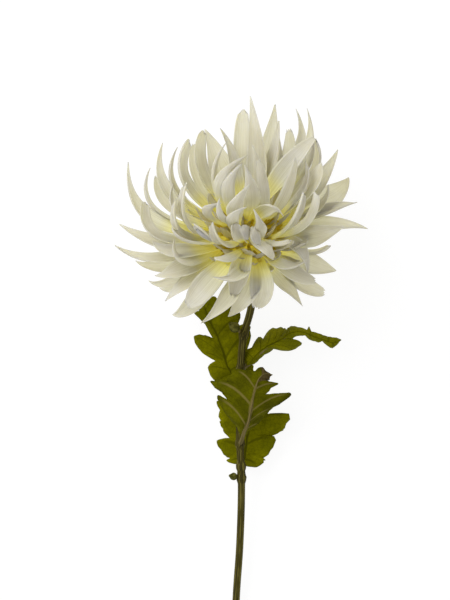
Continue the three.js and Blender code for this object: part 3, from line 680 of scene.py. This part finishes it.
# %% Laying a petal
def lay_petal(name, kind, petal, material=None, origin=HEART, facing=FACING):
    """A copy of a flat petal with its own mesh, laid along one petal's spine."""
    mesh = FLAT_PETALS[kind].data.copy()
    frames = petal_frames(petal, facing)
    length = sum((frames[i + 1][0] - frames[i][0]).length for i in range(STATIONS))
    middle_arc = max(4 * math.atan(2 * petal["cup"]), FLATTEST_ARC)
    tip_arc = middle_arc + petal.get("curl", 0.6)
    hook = petal.get("hook", 0.0) * length
    sway = petal.get("sway", 0.0) * length
    ripple = petal.get("ripple", 0.0) * petal["width"]
    phase = petal.get("phase", 0.0)
    lowest = (TABLE_GAP * MM - origin.z) / MM
    for vertex in mesh.vertices:
        t = min(max(vertex.co.y / FLAT_LENGTH, 0.0), 1.0)
        step = min(int(t * STATIONS), STATIONS - 1)
        part = t * STATIONS - step
        point, forward, inner, across = (
            a.lerp(b, part) for a, b in zip(frames[step], frames[step + 1]))
        share = outline_share(t, kind)
        side = vertex.co.x / (share * FLAT_WIDTH / 2)
        arc = lerp(CLAW_ARC, middle_arc, smooth(t / CLAW_ENDS))
        arc = lerp(arc, tip_arc, smooth((t - TIP_STARTS) / (1 - TIP_STARTS)))
        radius = share * petal["width"] / arc
        angle = side * arc / 2
        lift = radius * (1 - math.cos(angle))
        lift += hook * (max(t - HOOK_STARTS, 0.0) ** 2 * HOOK_BACK - t * t)
        lift += ripple * side * side * math.sin(WAVES * t + phase + (EDGE_LAG if side > 0 else 0))
        shift = radius * math.sin(angle) + sway * math.sin(math.pi * t) * t
        place = point + across * shift + inner * lift
        place += (inner * math.cos(angle) - across * math.sin(angle)) * vertex.co.z
        place.z = max(place.z, lowest)
        vertex.co = origin + place * MM
    obj = bpy.data.objects.new(name, mesh)
    bpy.context.scene.collection.objects.link(obj)
    make_active(obj)
    bpy.ops.object.shade_smooth()
    obj.data.materials.clear()
    obj.data.materials.append(material or PETAL_TISSUE)
    return obj


print("the claw wraps", round(math.degrees(CLAW_ARC)), "degrees")


# %% Keeping, joining and varying pieces
def keep(obj, slot, *nodes):
    """Names what a finished piece rides on and the CAD nodes it stands for, which are hidden. The
    slot is not used.
    """
    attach(obj, "root")
    if nodes:
        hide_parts(*nodes)


def join_pieces(pieces, name):
    """Joins finished pieces into one."""
    make_active(pieces[0])
    for piece in pieces:
        piece.select_set(True)
    bpy.ops.object.join()
    pieces[0].name = name
    return pieces[0]


def vary(petal, kind):
    """Gives a petal its small natural differences. Only a pointed one rolls up at its tip."""
    petal["twist"] = draw.uniform(-0.4, 0.4)
    petal["hook"] = draw.uniform(-0.03, 0.1)
    petal["sway"] = draw.uniform(-0.05, 0.05)
    petal["curl"] = draw.uniform(0.2, 2.6) if kind == "pointed" else draw.uniform(-0.7, 0.3)
    petal["ripple"] = draw.uniform(0.01, 0.05)
    petal["phase"] = draw.uniform(0.0, 6.28)
    return petal


print("pieces to lay:", len(planned))

# %% Outer and back petals
for label, petals in (("outer_petal", outer_petals), ("back_petal", back_petals)):
    for number, petal in enumerate(petals, 1):
        kind = petal["kind"] or draw.choice(("pointed", "pointed", "pointed", "toothed"))
        name = f"{label}_{number:02d}"
        piece = lay_petal(name + "_finished", kind, vary(petal, kind))
        keep(piece, "petal", name)
print("outer and back petals laid")

# %% Inner florets
FLORET_SEAT = 1
florets = []
for number, petal in enumerate(inner_florets, 1):
    petal["root"] = petal["root"].normalized() * (RECEPTACLE_RADIUS - FLORET_SEAT)
    kind = petal["kind"]
    florets.append(lay_petal(f"inner_floret_{number:02d}", kind, vary(petal, kind)))
inner_florets_piece = join_pieces(florets, "inner_florets_finished")
keep(inner_florets_piece, "petal", "receptacle_with_florets")
print("inner florets laid:", len(florets))

# %% [markdown]
# ## The florets between
# A real head holds well over a hundred florets. The rest stand between the planned ones, in
# the sunflower spiral that the florets of every daisy follow: each is turned by the golden
# angle from the one before, and leans further out.

# %% Spiral florets
SPIRAL_COUNT = 68
GOLDEN_ANGLE = math.pi * (3 - math.sqrt(5))
WIDEST_LEAN = math.radians(122)
SKIRT_SHORTER = 0.65
SPIRAL_LENGTH = (24, 46)  # from the middle of the head to its edge, as the next three are
SPIRAL_FORWARD = (4, 12)
SPIRAL_OUTWARD = (1, 3)
SPIRAL_WIDTH = (9, 13)
HALF_WAY = 0.58
ABOVE_TABLE = 4
SIDE = Vector((1, 0, 0))
CROWN = FACING.cross(SIDE)
spiral = []
for i in range(SPIRAL_COUNT):
    share = (i + 0.5) / SPIRAL_COUNT
    lean = math.acos(1 - share * (1 - math.cos(WIDEST_LEAN)))
    turn = i * GOLDEN_ANGLE
    outward = SIDE * math.cos(turn) + CROWN * math.sin(turn)
    direction = FACING * math.cos(lean) + outward * math.sin(lean)
    length = lerp(*SPIRAL_LENGTH, share) * draw.uniform(0.9, 1.08)
    length *= 1 - SKIRT_SHORTER * max(-outward.y, 0.0) * share
    tip = direction * length + FACING * lerp(*SPIRAL_FORWARD, share)
    via = direction * length * HALF_WAY + outward * lerp(*SPIRAL_OUTWARD, share)
    lowest = ABOVE_TABLE - HEART.z / MM
    tip.z = max(tip.z, lowest)
    via.z = max(via.z, lowest + 2)
    width = lerp(*SPIRAL_WIDTH, share)
    spiral.append(petal_from([tip, via, width, draw.uniform(0.16, 0.28), draw.uniform(-20, 20)]))
settle_roots(planned + spiral, fixed=len(planned))
laid = []
for i, petal in enumerate(spiral):
    kind = draw.choice(("pointed", "rounded", "toothed"))
    laid.append(lay_petal(f"spiral_floret_{i:02d}", kind, vary(petal, kind)))
spiral_piece = join_pieces(laid, "spiral_florets")
keep(spiral_piece, "petal")
print("spiral florets laid:", len(laid), "with", len(spiral_piece.data.polygons), "faces")

# %% [markdown]
# ## The stem
# The stem could be a curve with a round bevel, but it has six ridges, swollen nodes where a
# leaf or a bud stands, and a clean cut at its end. So a circle with every other pair of points
# pulled in is extruded ring by ring, and the straight tube is then bent along the stem's course.
# The course is the one that the CAD solid follows.

# %% Stem plan
STEM_LENGTH = 250
STEM_RADIUS = 2.3
NODE_RADIUS = 3.3
NODE_REACH = 4
LEAF_PLACES = {"leaf_upper_left": 72, "leaf_right": 63, "leaf_front": 108, "leaf_lower_back": 122}
BUD_PLACES = {"side_bud_upper": 42, "side_bud_lower": 129}
HALVINGS = 30
STEM_COURSE = [  # share of its length, millimetres to the right, share of the neck's height
    (0, 0, 1), (0.09, 3, 0.72), (0.18, -2.2, 0.56), (0.32, -4, 0.43), (0.42, -4, 0.35),
    (0.53, -3, 0.27), (0.68, -4, 0.17), (0.8, -6, 0.09), (1, -8, 0),
]
neck = FACING * -INVOLUCRE_LENGTH
neck_height = NECK.z / MM
stem_points = []
for share, right, height in STEM_COURSE:
    up = lerp(STEM_RADIUS, neck_height, height) - neck_height
    stem_points.append(neck + Vector((right, -share * STEM_LENGTH, up)))
print("stem of", STEM_LENGTH, "mm, from a neck", round(neck_height, 1), "mm above the table")


def smooth_point(points, t):
    """A point of the smooth curve through the points, with t from 0 to 1."""
    place = min(max(t, 0.0), 1.0) * (len(points) - 1)
    i = min(int(place), len(points) - 2)
    f = place - i
    p1, p2 = points[i], points[i + 1]
    p0 = points[i - 1] if i > 0 else p1 * 2 - p2
    p3 = points[i + 2] if i + 2 < len(points) else p2 * 2 - p1
    d0, d1, d2 = (math.sqrt((b - a).length) for a, b in ((p0, p1), (p1, p2), (p2, p3)))
    m1 = ((p1 - p0) / d0 - (p2 - p0) / (d0 + d1) + (p2 - p1) / d1) * d1
    m2 = ((p2 - p1) / d1 - (p3 - p1) / (d1 + d2) + (p3 - p2) / d2) * d1
    return (p1 * (2 * f ** 3 - 3 * f * f + 1) + m1 * (f ** 3 - 2 * f * f + f)
            + p2 * (3 * f * f - 2 * f ** 3) + m2 * (f ** 3 - f * f))


def on_stem(down):
    """The point of the stem's middle line at a distance below the neck, along Y."""
    low, high = 0.0, 1.0
    for _ in range(HALVINGS):
        middle = (low + high) / 2
        if smooth_point(stem_points, middle).y > neck.y - down:
            low = middle
        else:
            high = middle
    return smooth_point(stem_points, low)


# %% A tube along a curve
RIDGES = 6
RIDGE_DEPTH = 0.14
BETWEEN_RIDGES = -0.5  # the ridge wave is lower than this between two ridges


def tube(name, points, radius, rings, sides, material, ridge=0.0):
    """Extrudes a circle into a straight closed tube and bends it along a smooth curve."""
    deselect_all()
    bpy.ops.mesh.primitive_circle_add(vertices=sides, radius=1, fill_type="NGON",
                                      location=(0, 0, 0))
    piece = bpy.context.object
    piece.name = name
    if ridge:
        select_points(piece, lambda co: math.cos(RIDGES * math.atan2(co.y, co.x)) < BETWEEN_RIDGES)
        bpy.ops.transform.resize(value=(1 - ridge, 1 - ridge, 1), center_override=(0, 0, 0))
    select_points(piece, lambda co: True)
    for _ in range(rings):
        bpy.ops.mesh.extrude_region_move(TRANSFORM_OT_translate={"value": (0, 0, 1)})
    bpy.ops.mesh.select_all(action="SELECT")
    bpy.ops.mesh.normals_make_consistent(inside=False)
    bpy.ops.object.mode_set(mode="OBJECT")

    stations = [smooth_point(points, i / rings) for i in range(rings + 1)]
    forwards = [(stations[min(i + 1, rings)] - stations[max(i - 1, 0)]).normalized()
                for i in range(rings + 1)]
    side = forwards[0].orthogonal().normalized()
    frames = []
    travelled = 0.0
    for i, forward in enumerate(forwards):
        side = (side - forward * side.dot(forward)).normalized()
        if i:
            travelled += (stations[i] - stations[i - 1]).length
        frames.append((stations[i], side, side.cross(-forward), travelled))
    straight = piece.data.attributes.new("straight", "FLOAT_VECTOR", "POINT")
    for vertex in piece.data.vertices:
        ring = round(vertex.co.z)
        point, side, up, travelled = frames[ring]
        size = radius(ring / rings)
        x, y = vertex.co.x * size, vertex.co.y * size
        straight.data[vertex.index].vector = (x, y, travelled)
        vertex.co = HEART + (point + side * x + up * y) * MM
    piece.data.materials.clear()
    piece.data.materials.append(material)
    make_active(piece)
    bpy.ops.object.shade_smooth_by_angle(angle=math.radians(50))
    return piece


print("the stem's middle line passes", [round(v, 1) for v in smooth_point(stem_points, 0.5)], "mm")

# %% Stem
STEM_RINGS = 120
STEM_SIDES = 24
STEM_INSET = 0.06
node_places = [on_stem(down) for down in (*LEAF_PLACES.values(), *BUD_PLACES.values())]


def stem_radius(t):
    """The stem's radius, swollen near each leaf and bud."""
    point = smooth_point(stem_points, t)
    nearest = min((point - place).length for place in node_places)
    return lerp(NODE_RADIUS, STEM_RADIUS, smooth(nearest / NODE_REACH)) - STEM_INSET


stem = tube("stem_finished", stem_points, stem_radius, STEM_RINGS, STEM_SIDES, STEM_SKIN,
            ridge=RIDGE_DEPTH)
stem.data.materials.append(STEM_PITH)
ends = [face for face in stem.data.polygons if len(face.vertices) == STEM_SIDES]
min(ends, key=lambda face: face.center.y).material_index = 1
keep(stem, "stem", "stem")
print("stem laid,", len(stem.data.polygons), "faces")

# %% [markdown]
# ## Leaves
# A leaf is a thin blade with a midrib, side veins that run out to the tips of its lobes, and
# notches between them. An extruded outline would be flat and veinless. So a grid stands for the
# blade: its middle column is the midrib, and each rib of the plan is one row, so a side vein is
# a row of points that can be sunk or raised with the translate operator. The grid is then laid
# on the plan's ribs, as the CAD solid is, and Solidify gives it its thickness.

# %% Leaf plan
LEAVES = [
    {
        "name": "leaf_upper_left", "underside_up": False,
        "left": "nvvnvvvnvvvnn",  # v where a side vein runs to a lobe
        "right": "nvvnnvnnvnvnn",
        "stalk": [[-3, -86, -30], [-4.5, -84.5, -34]],
        "ribs": [
            [[-6, -83, -35], [-8, -84, -35], [-4, -82, -35]],
            [[-8, -80, -36], [-17, -85, -35], [3, -82, -35]],
            [[-9, -78, -36], [-23, -76, -33], [5, -75, -33]],
            [[-11, -75, -36], [-18, -72, -35], [-1, -71, -35]],
            [[-11.5, -73, -36], [-26, -67, -32], [1, -66, -33]],
            [[-12, -71, -36], [-31.5, -57, -29], [3, -55, -31]],
            [[-14, -65, -35], [-25, -56.5, -31], [1, -50, -31]],
            [[-16, -60, -34], [-19.5, -58.5, -34], [-6, -52, -33]],
            [[-17, -57, -34], [-24, -50, -32], [-3, -46, -31]],
            [[-19, -53, -33], [-28, -46, -30], [-6, -40, -29]],
            [[-21, -49, -32], [-30.5, -43.5, -28], [-10, -36, -27]],
            [[-23, -44, -30], [-27.5, -42, -29], [-16, -36, -27]],
            [[-24, -41, -29], [-30, -39.5, -27], [-19, -33, -26]],
        ],
        "tip": [-25, -36, -27],
    },
    {
        "name": "leaf_right", "underside_up": False,
        "left": "nnnvnvvvnvnnnvnnnnnn",  # v where a side vein runs to a lobe
        "right": "nnnnnnvvvnnnnvnnnnvn",
        "stalk": [[-1.5, -77, -29], [2, -74.5, -28]],
        "ribs": [
            [[5, -72, -27], [0.6, -70.5, -29], [6, -74, -28]],
            [[6, -70.5, -26], [0, -66.5, -31], [9, -71, -28]],
            [[8, -68, -25], [5, -64, -30], [12.5, -68, -28]],
            [[10, -66, -24], [9, -57.5, -32], [14, -67, -28]],
            [[12, -64.5, -23], [11.5, -58.8, -29], [17.5, -64.5, -27]],
            [[14, -63, -22], [15.5, -53.2, -31], [23, -65.5, -28]],
            [[17, -61.5, -21], [20, -52.3, -31], [29, -65.3, -29]],
            [[20, -60, -21], [24.5, -52.2, -30], [35.5, -60.8, -29]],
            [[23, -58.5, -21], [25.8, -53, -27], [31, -58.8, -26]],
            [[25, -57, -21], [27.5, -51.3, -27], [27.7, -58.3, -23]],
            [[28, -55, -21], [29.5, -50.5, -26], [31, -56.6, -24]],
            [[33, -54, -22], [33, -51.2, -26], [34, -56.3, -25]],
            [[38, -55, -24], [38.5, -53.4, -26], [37.5, -56.6, -27]],
            [[40, -56, -24], [40.2, -51, -28], [40.5, -58.8, -28]],
            [[41.5, -56.6, -25], [41.2, -54.2, -27], [44, -60, -29]],
            [[45, -57.8, -26], [45.6, -55.4, -28], [46.6, -60.8, -30]],
            [[48, -59, -28], [49, -57, -29], [48.3, -60, -30]],
            [[51, -60, -30], [51.5, -57.5, -31], [51.2, -62.6, -32]],
            [[54, -60.7, -31], [55, -57.9, -32], [54.4, -64.4, -33]],
            [[56.5, -60.5, -32], [57.5, -58.3, -33], [57.4, -62.4, -34]],
        ],
        "tip": [59.5, -59.2, -33],
    },
    {
        "name": "leaf_front", "underside_up": True,
        "left": "nnnvnnnvnnvnnnn",  # v where a side vein runs to a lobe
        "right": "nnnnvnvnnnvnnnn",
        "stalk": [[-4, -122, -34], [-3.5, -121, -31]],
        "ribs": [
            [[-2.5, -118, -28], [-4, -117, -28], [-1, -118, -28]],
            [[-2, -116, -26], [-6, -113, -28], [0.5, -115, -27]],
            [[-1, -113, -24], [-13.6, -103, -27], [6.6, -110, -26]],
            [[0, -111, -23], [-17.8, -93.4, -26], [11, -104, -25]],
            [[1, -108, -21], [-11.3, -95.8, -22], [15.3, -100.4, -23]],
            [[1.8, -104.5, -20], [-15, -91, -24], [20, -97.5, -22]],
            [[2.2, -102, -19], [-19.5, -88, -25], [26.5, -91.7, -23]],
            [[3, -98, -18], [-20, -84, -25], [20, -91.6, -20]],
            [[3.8, -94, -17], [-12, -84, -21], [10.8, -92, -18]],
            [[4.3, -91, -16], [-9, -80, -20], [14, -88, -18]],
            [[5, -88, -16], [-7, -77, -20], [18.7, -85.4, -19]],
            [[5.9, -85, -15], [0, -77.5, -17], [13, -84, -17]],
            [[7, -82, -15], [5, -77.5, -15], [12, -83, -17]],
            [[9.5, -79.5, -15], [9.4, -75, -15], [13.6, -83, -16]],
            [[12, -79, -16], [11.5, -77, -16], [14, -81, -16]],
        ],
        "tip": [15.2, -79.8, -17],
    },
    {
        "name": "leaf_lower_back", "underside_up": False,
        "left": "nvnnvnnnnvnvn",  # v where a side vein runs to a lobe
        "right": "nvnnnvnnnvnvn",
        "stalk": [[-3.5, -136, -35], [-3, -135.5, -38]],
        "ribs": [
            [[-2, -134, -39], [-5, -135, -39], [2, -136, -39]],
            [[-1.5, -132, -40], [-11.9, -133, -39], [6.6, -136.2, -39]],
            [[-1.2, -131, -40], [-10.5, -131.5, -40], [10.6, -132.8, -38]],
            [[-1, -129, -40], [-14.3, -128, -39], [10.1, -131, -39]],
            [[-0.8, -127, -41], [-17.9, -120.4, -37], [14.6, -126.5, -38]],
            [[-0.3, -123, -41], [-10.5, -119.2, -40], [16.9, -118.5, -37]],
            [[0, -120, -41], [-14.3, -113.6, -39], [13.9, -118.2, -39]],
            [[0.5, -117, -41], [-15.7, -108.4, -38], [20, -115.3, -38]],
            [[1, -114, -41], [-16.2, -102, -37], [23, -112, -37]],
            [[1.5, -111, -41], [-17, -96, -36], [25.1, -104.2, -35]],
            [[2, -107, -40], [-10, -97, -38], [12.2, -105.6, -38]],
            [[2.5, -102, -39], [-9, -91, -37], [14, -96, -36]],
            [[3, -97, -38], [-3, -90, -37], [9, -92, -36]],
        ],
        "tip": [4, -87, -36],
    },
]
print("leaf plan:", {plan["name"]: len(plan["ribs"]) for plan in LEAVES}, "ribs")

# %% Flat leaf
LEAF_COLUMNS = 12
LEAF_SUBROWS = 4
VEIN_DEPTH = 0.35
PUCKER = 0.35
ON_LINE = 0.01
PUCKER_REACH = 0.3
BLADE_INSIDE = 0.9


def flat_leaf(rows, veins):
    """A flat leaf in steps: one along for each rib, and from -1 to 1 across."""
    deselect_all()
    bpy.ops.mesh.primitive_grid_add(x_subdivisions=LEAF_COLUMNS,
                                    y_subdivisions=rows * LEAF_SUBROWS,
                                    size=1, location=(0, 0, 0))
    leaf = bpy.context.object
    leaf.data.uv_layers[0].name = "leaf_map"
    select_points(leaf, lambda co: True)
    bpy.ops.transform.resize(value=(2, rows, 1), center_override=(0, 0, 0))
    bpy.ops.transform.translate(value=(0, rows / 2, 0))
    select_points(leaf, lambda co: abs(co.x) < ON_LINE)
    bpy.ops.transform.translate(value=(0, 0, -VEIN_DEPTH))
    for sign, side_veins in zip((-1, 1), veins):
        for row in range(1, rows):
            reach, start, lift = PUCKER_REACH, NEAR, PUCKER
            if row in side_veins:
                reach, start, lift = ON_LINE, ON_LINE, -VEIN_DEPTH
            select_points(leaf, lambda co: abs(co.y - row) < reach
                          and start < co.x * sign < BLADE_INSIDE)
            bpy.ops.transform.translate(value=(0, 0, lift))
    bpy.ops.object.mode_set(mode="OBJECT")
    return leaf


def vein_share(row, veins):
    """The leaf map's second coordinate: a whole number at every side vein."""
    before = [i for i, vein in enumerate(veins) if vein <= row]
    i = min(before[-1] if before else 0, len(veins) - 2)
    return i + (row - veins[i]) / (veins[i + 1] - veins[i])


print("a flat leaf is", LEAF_COLUMNS, "columns wide, with", LEAF_SUBROWS, "rows to a rib")

# %% Laying a leaf
LEAF_THICKNESS = 0.4
LEAF_BOW = 1.2
SERRATION = 0.03
LOBE_BULGE = 0.08
VEIN_CURVE = 0.12  # how far the side veins curve towards the tip, as a share of their length
WITHERED_FROM = (2.87, 2.3)  # left and right in the leaf map, where the folded tip turns brown
LEAF_WAVE = 0.5
WAVE_STEP = 2.1  # radians of the edge's wave from one rib to the next
EDGE = 0.99
MIDRIB_RINGS = 30
STALK_SIDES = 8
STALK_RADII = (1.35, 0.25)  # at the stem and at the leaf's tip
MIDRIB_ABOVE = 0.45
MIDRIB_BELOW = 0.5


def stalk_radius(t):
    """The radius of a leaf's stalk and midrib, from the stem to the leaf's tip."""
    return lerp(*STALK_RADII, smooth(t * 1.3))


def lay_leaf(plan):
    """Lays a flat leaf on its ribs and gives it its thickness, its midrib and its stalk."""
    shift = on_stem(LEAF_PLACES[plan["name"]]) - Vector(plan["stalk"][0])
    stalk = [Vector(p) + shift for p in plan["stalk"]]
    ribs = [[Vector(p) + shift for p in rib] for rib in plan["ribs"]]
    feet = [stalk[-1]] + [rib[0] for rib in ribs] + [Vector(plan["tip"]) + shift]
    rows = len(feet) - 1
    zero = Vector((0, 0, 0))
    reaches = [[zero] + [rib[side] - rib[0] for rib in ribs] + [zero] for side in (1, 2)]
    ups = []
    for i in range(rows + 1):
        near = min(max(i, 1), rows - 1)
        forward = feet[min(near + 1, rows)] - feet[near - 1]
        ups.append((reaches[1][near] - reaches[0][near]).cross(forward).normalized())
    veins = [[i + 1 for i, mark in enumerate(plan[side]) if mark == "v"]
             for side in ("left", "right")]
    leaf = flat_leaf(rows, veins)
    mesh = leaf.data
    for face in mesh.polygons:
        side = 0 if face.center.x < 0 else 1
        for loop in face.loop_indices:
            co = mesh.vertices[mesh.loops[loop].vertex_index].co
            mesh.uv_layers[0].data[loop].uv = ((co.x + 1) / 2, vein_share(co.y, veins[side]))
    face_up = -1 if plan["underside_up"] else 1
    for vertex in mesh.vertices:
        x, row, z = vertex.co
        i = min(int(row + 1e-4), rows - 1)
        part = row - i
        side = 0 if x < 0 else 1
        reach = reaches[side][i].lerp(reaches[side][i + 1], part)
        if 0 < i < rows - 1:
            reach *= 1 + LOBE_BULGE * math.sin(math.pi * part)
        if abs(x) > EDGE:
            reach *= 1 + draw.uniform(-SERRATION, SERRATION)
        up = ups[i].lerp(ups[i + 1], part).normalized()
        foot = smooth_point(feet, row / rows)
        if 0 < i < rows - 1:
            ahead = (feet[i + 1] - feet[i]).normalized()
            foot += ahead * reach.length * VEIN_CURVE * math.sin(math.pi * abs(x))
        lift = z * face_up - LEAF_BOW * x * x
        lift += LEAF_WAVE * x * x * math.sin(WAVE_STEP * row + side)
        vertex.co = HEART + (foot + reach * abs(x) + up * lift) * MM
    mesh.materials.clear()
    skins = [LEAF_UPPER, LEAF_UNDER]
    for skin_material in (reversed(skins) if plan["underside_up"] else skins):
        mesh.materials.append(skin_material)
    make_active(leaf)
    skin = leaf.modifiers.new("skin", "SOLIDIFY")
    skin.thickness = LEAF_THICKNESS * MM
    skin.offset = 0
    skin.material_offset = 1
    bpy.ops.object.modifier_apply(modifier="skin")
    bpy.ops.object.shade_smooth()
    if plan["underside_up"]:
        mesh.materials.append(LEAF_TIP)
        for face in mesh.polygons:
            across, along = mesh.uv_layers[0].data[face.loop_start].uv
            if along > WITHERED_FROM[0 if across < 0.5 else 1]:
                face.material_index = 2
    midrib = [stalk[0]]
    for i, (foot, up) in enumerate(zip(feet, ups)):
        below = -stalk_radius(i / rows) - MIDRIB_BELOW
        midrib.append(foot + up * (MIDRIB_ABOVE if plan["underside_up"] else below))
    stalk_piece = tube("stalk", midrib, stalk_radius, MIDRIB_RINGS, STALK_SIDES, STALK_SKIN)
    return join_pieces([leaf, stalk_piece], plan["name"] + "_finished")


for plan in LEAVES:
    leaf = lay_leaf(plan)
    keep(leaf, "leaf", plan["name"])
    print(leaf.name, len(leaf.data.polygons), "faces")

# %% [markdown]
# ## Bracts, cup and receptacle
# Behind the florets, a green cup of overlapping bracts holds the round receptacle. The cup is a
# tube whose radius follows its round outline, and one bract shape is copied round it in three
# rows. In front, the dome of the receptacle carries the youngest florets, which are still short
# yellow tubes. One tube is modelled and copied all over the dome.

# %% Involucre
CUP_RADIUS = 12.6
CUP_WALL_ANGLE = math.radians(35)
CUP_RINGS = 24
BRACT_ROWS = ((16, 52, 0.0), (34, 68, 0.5), (50, 82, 0.0))  # degrees, and share of a step turned
BRACTS_IN_ROW = 12
BRACT_WIDTH = 5.5
BRACT_LIFT = 0.2
RIM_BEHIND = 5.2  # millimetres from the heart back to the cup's rim
NECK_FLARE = 1.2
CUP_SIDES = 24


def cup_radius(t):
    """The cup's radius, from the stem's neck to the rim."""
    behind = lerp(INVOLUCRE_LENGTH - CLEARANCE, RIM_BEHIND, t)
    wall = CUP_RADIUS * math.cos(CUP_WALL_ANGLE)
    if behind > wall:
        share = (behind - wall) / (INVOLUCRE_LENGTH - CLEARANCE - wall)
        return lerp(CUP_RADIUS * math.sin(CUP_WALL_ANGLE), STEM_RADIUS + NECK_FLARE,
                    smooth(share))
    return math.sqrt(CUP_RADIUS ** 2 - behind ** 2)


def wrapped_bract(radius, turn, start, end, width, axis):
    """A bract's spine on a ball, between two angles in degrees from the back of its axis."""
    side = axis.orthogonal().normalized()
    out = Quaternion(axis, turn) @ side
    places = []
    for angle in (start, (start + end) / 2, end):
        a = math.radians(angle)
        places.append((out * math.sin(a) - axis * math.cos(a)) * radius)
    return {"root": places[0], "via": places[1], "tip": places[2], "width": width, "cup": 0.22,
            "roll": 0.0, "twist": draw.uniform(-0.15, 0.15), "curl": 0.8}


cup_ends = [FACING * -(INVOLUCRE_LENGTH - CLEARANCE), FACING * -RIM_BEHIND]
bracts = [tube("cup", cup_ends, cup_radius, CUP_RINGS, CUP_SIDES, BRACT_SKIN)]
for row, (start, end, offset) in enumerate(BRACT_ROWS):
    for i in range(BRACTS_IN_ROW):
        turn = 2 * math.pi * (i + offset) / BRACTS_IN_ROW
        spine = wrapped_bract(CUP_RADIUS + BRACT_LIFT, turn, start, end, BRACT_WIDTH, FACING)
        bracts.append(lay_petal(f"bract_{row}_{i}", "bract", spine, BRACT_SKIN))
involucre = join_pieces(bracts, "involucre_finished")
keep(involucre, "bract", "involucre")
print("involucre of", len(bracts) - 1, "bracts")

# %% Receptacle
YOUNG_COUNT = 150
YOUNG_LENGTH = 13
YOUNG_LEAN = math.radians(95)
YOUNG_FOOT = 0.7
YOUNG_MOUTH = 1.3
YOUNG_WALL = 0.3
YOUNG_DEPTH = 1.5
YOUNG_SEAT = 1
DOME_SHARE = 0.985


def facing_along(place, axis):
    """The matrix that moves an upright piece to a place and points it along an axis."""
    return Matrix.Translation(place) @ axis.to_track_quat("Z", "Y").to_matrix().to_4x4()


deselect_all()
bpy.ops.mesh.primitive_uv_sphere_add(segments=24, ring_count=14, location=(0, 0, 0),
                                     radius=RECEPTACLE_RADIUS * MM * DOME_SHARE)
dome = bpy.context.object
dome.name = "receptacle_dome"
dome.data.transform(facing_along(HEART, FACING))
dome.data.materials.append(YOUNG_FLORET)
deselect_all()
bpy.ops.mesh.primitive_cone_add(vertices=7, radius1=YOUNG_FOOT, radius2=YOUNG_MOUTH,
                                depth=YOUNG_LENGTH, end_fill_type="NGON",
                                location=(0, 0, YOUNG_LENGTH / 2))
young = bpy.context.object
young.data.transform(young.matrix_world)
young.matrix_world = Matrix.Identity(4)
select_points(young, lambda co: co.z > YOUNG_LENGTH - NEAR)
bpy.ops.mesh.inset(thickness=YOUNG_WALL)
bpy.ops.transform.translate(value=(0, 0, -YOUNG_DEPTH))
bpy.ops.object.mode_set(mode="OBJECT")
heads = [dome]
for i in range(YOUNG_COUNT):
    share = (i + 0.5) / YOUNG_COUNT
    lean = math.acos(1 - share * (1 - math.cos(YOUNG_LEAN)))
    outward = SIDE * math.cos(i * GOLDEN_ANGLE) + CROWN * math.sin(i * GOLDEN_ANGLE)
    axis = FACING * math.cos(lean) + outward * math.sin(lean)
    mesh = young.data.copy()
    foot = HEART + axis * (RECEPTACLE_RADIUS - YOUNG_SEAT) * MM
    mesh.transform(facing_along(foot, axis) @ Matrix.Scale(MM, 4))
    mesh.materials.append(YOUNG_FLORET)
    copy = bpy.data.objects.new(f"young_floret_{i:02d}", mesh)
    bpy.context.scene.collection.objects.link(copy)
    heads.append(copy)
receptacle = join_pieces(heads, "receptacle_finished")
bpy.ops.object.shade_smooth_by_angle(angle=math.radians(40))
bpy.data.objects.remove(young)
keep(receptacle, "petal", "receptacle_with_florets")
print("receptacle with", YOUNG_COUNT, "young florets")

# %% [markdown]
# ## Side buds
# Each side bud is a small ball of closed bracts on a short stalk. The ball is a sphere that is
# drawn to a point, and two rows of the same bracts close over it.

# %% Side buds
BUD_PLAN = {  # the way each bud leans, and its size
    "side_bud_upper": ((-0.75, 0.62, 0.25), 1.0),
    "side_bud_lower": ((-0.9, 0.2, 0.3), 0.7),
}
BUD_RADIUS = 3.0
BUD_STALK = 7.0
BUD_STANDS_OFF = 1.05
BUD_POINT = (0.75, 0.75, 1.5)
BUD_STALK_RADII = (1.1, 0.9)
BUD_STALK_RINGS = 6
BUD_ROWS = ((20, 100), (50, 150))
BRACTS_ON_BUD = 6
BUD_BRACT_WIDTH = 2.9
BUD_BRACT_LIFT = 0.12
for name, (lean, size) in BUD_PLAN.items():
    axis = Vector(lean).normalized()
    start = on_stem(BUD_PLACES[name])
    centre = start + axis * BUD_STALK * size * BUD_STANDS_OFF
    middle = HEART + centre * MM
    deselect_all()
    bpy.ops.mesh.primitive_uv_sphere_add(segments=14, ring_count=10, radius=BUD_RADIUS * size,
                                         location=(0, 0, 0))
    ball = bpy.context.object
    ball.name = "ball"
    select_points(ball, lambda co: co.z > BUD_RADIUS * size / 2)
    bpy.ops.transform.resize(value=BUD_POINT, center_override=(0, 0, 0))
    bpy.ops.object.mode_set(mode="OBJECT")
    ball.data.transform(facing_along(middle, axis) @ Matrix.Scale(MM, 4))
    ball.data.materials.append(BRACT_SKIN)
    make_active(ball)
    bpy.ops.object.shade_smooth()
    pieces = [ball, tube("bud_stalk", [start, centre], lambda t: lerp(*BUD_STALK_RADII, t),
                         BUD_STALK_RINGS, STALK_SIDES, STALK_SKIN)]
    for row, (first, last) in enumerate(BUD_ROWS):
        for i in range(BRACTS_ON_BUD):
            turn = 2 * math.pi * (i + row / 2) / BRACTS_ON_BUD
            spine = wrapped_bract(BUD_RADIUS * size + BUD_BRACT_LIFT, turn, first, last,
                                  BUD_BRACT_WIDTH * size, axis)
            pieces.append(lay_petal(f"bud_bract_{row}_{i}", "bract", spine, BRACT_SKIN,
                                    middle, axis))
    bud = join_pieces(pieces, name + "_finished")
    keep(bud, "bract", name)
    print(bud.name, len(bud.data.polygons), "faces")

# %% Put the flat petals away
for flat in FLAT_PETALS.values():
    bpy.data.objects.remove(flat)
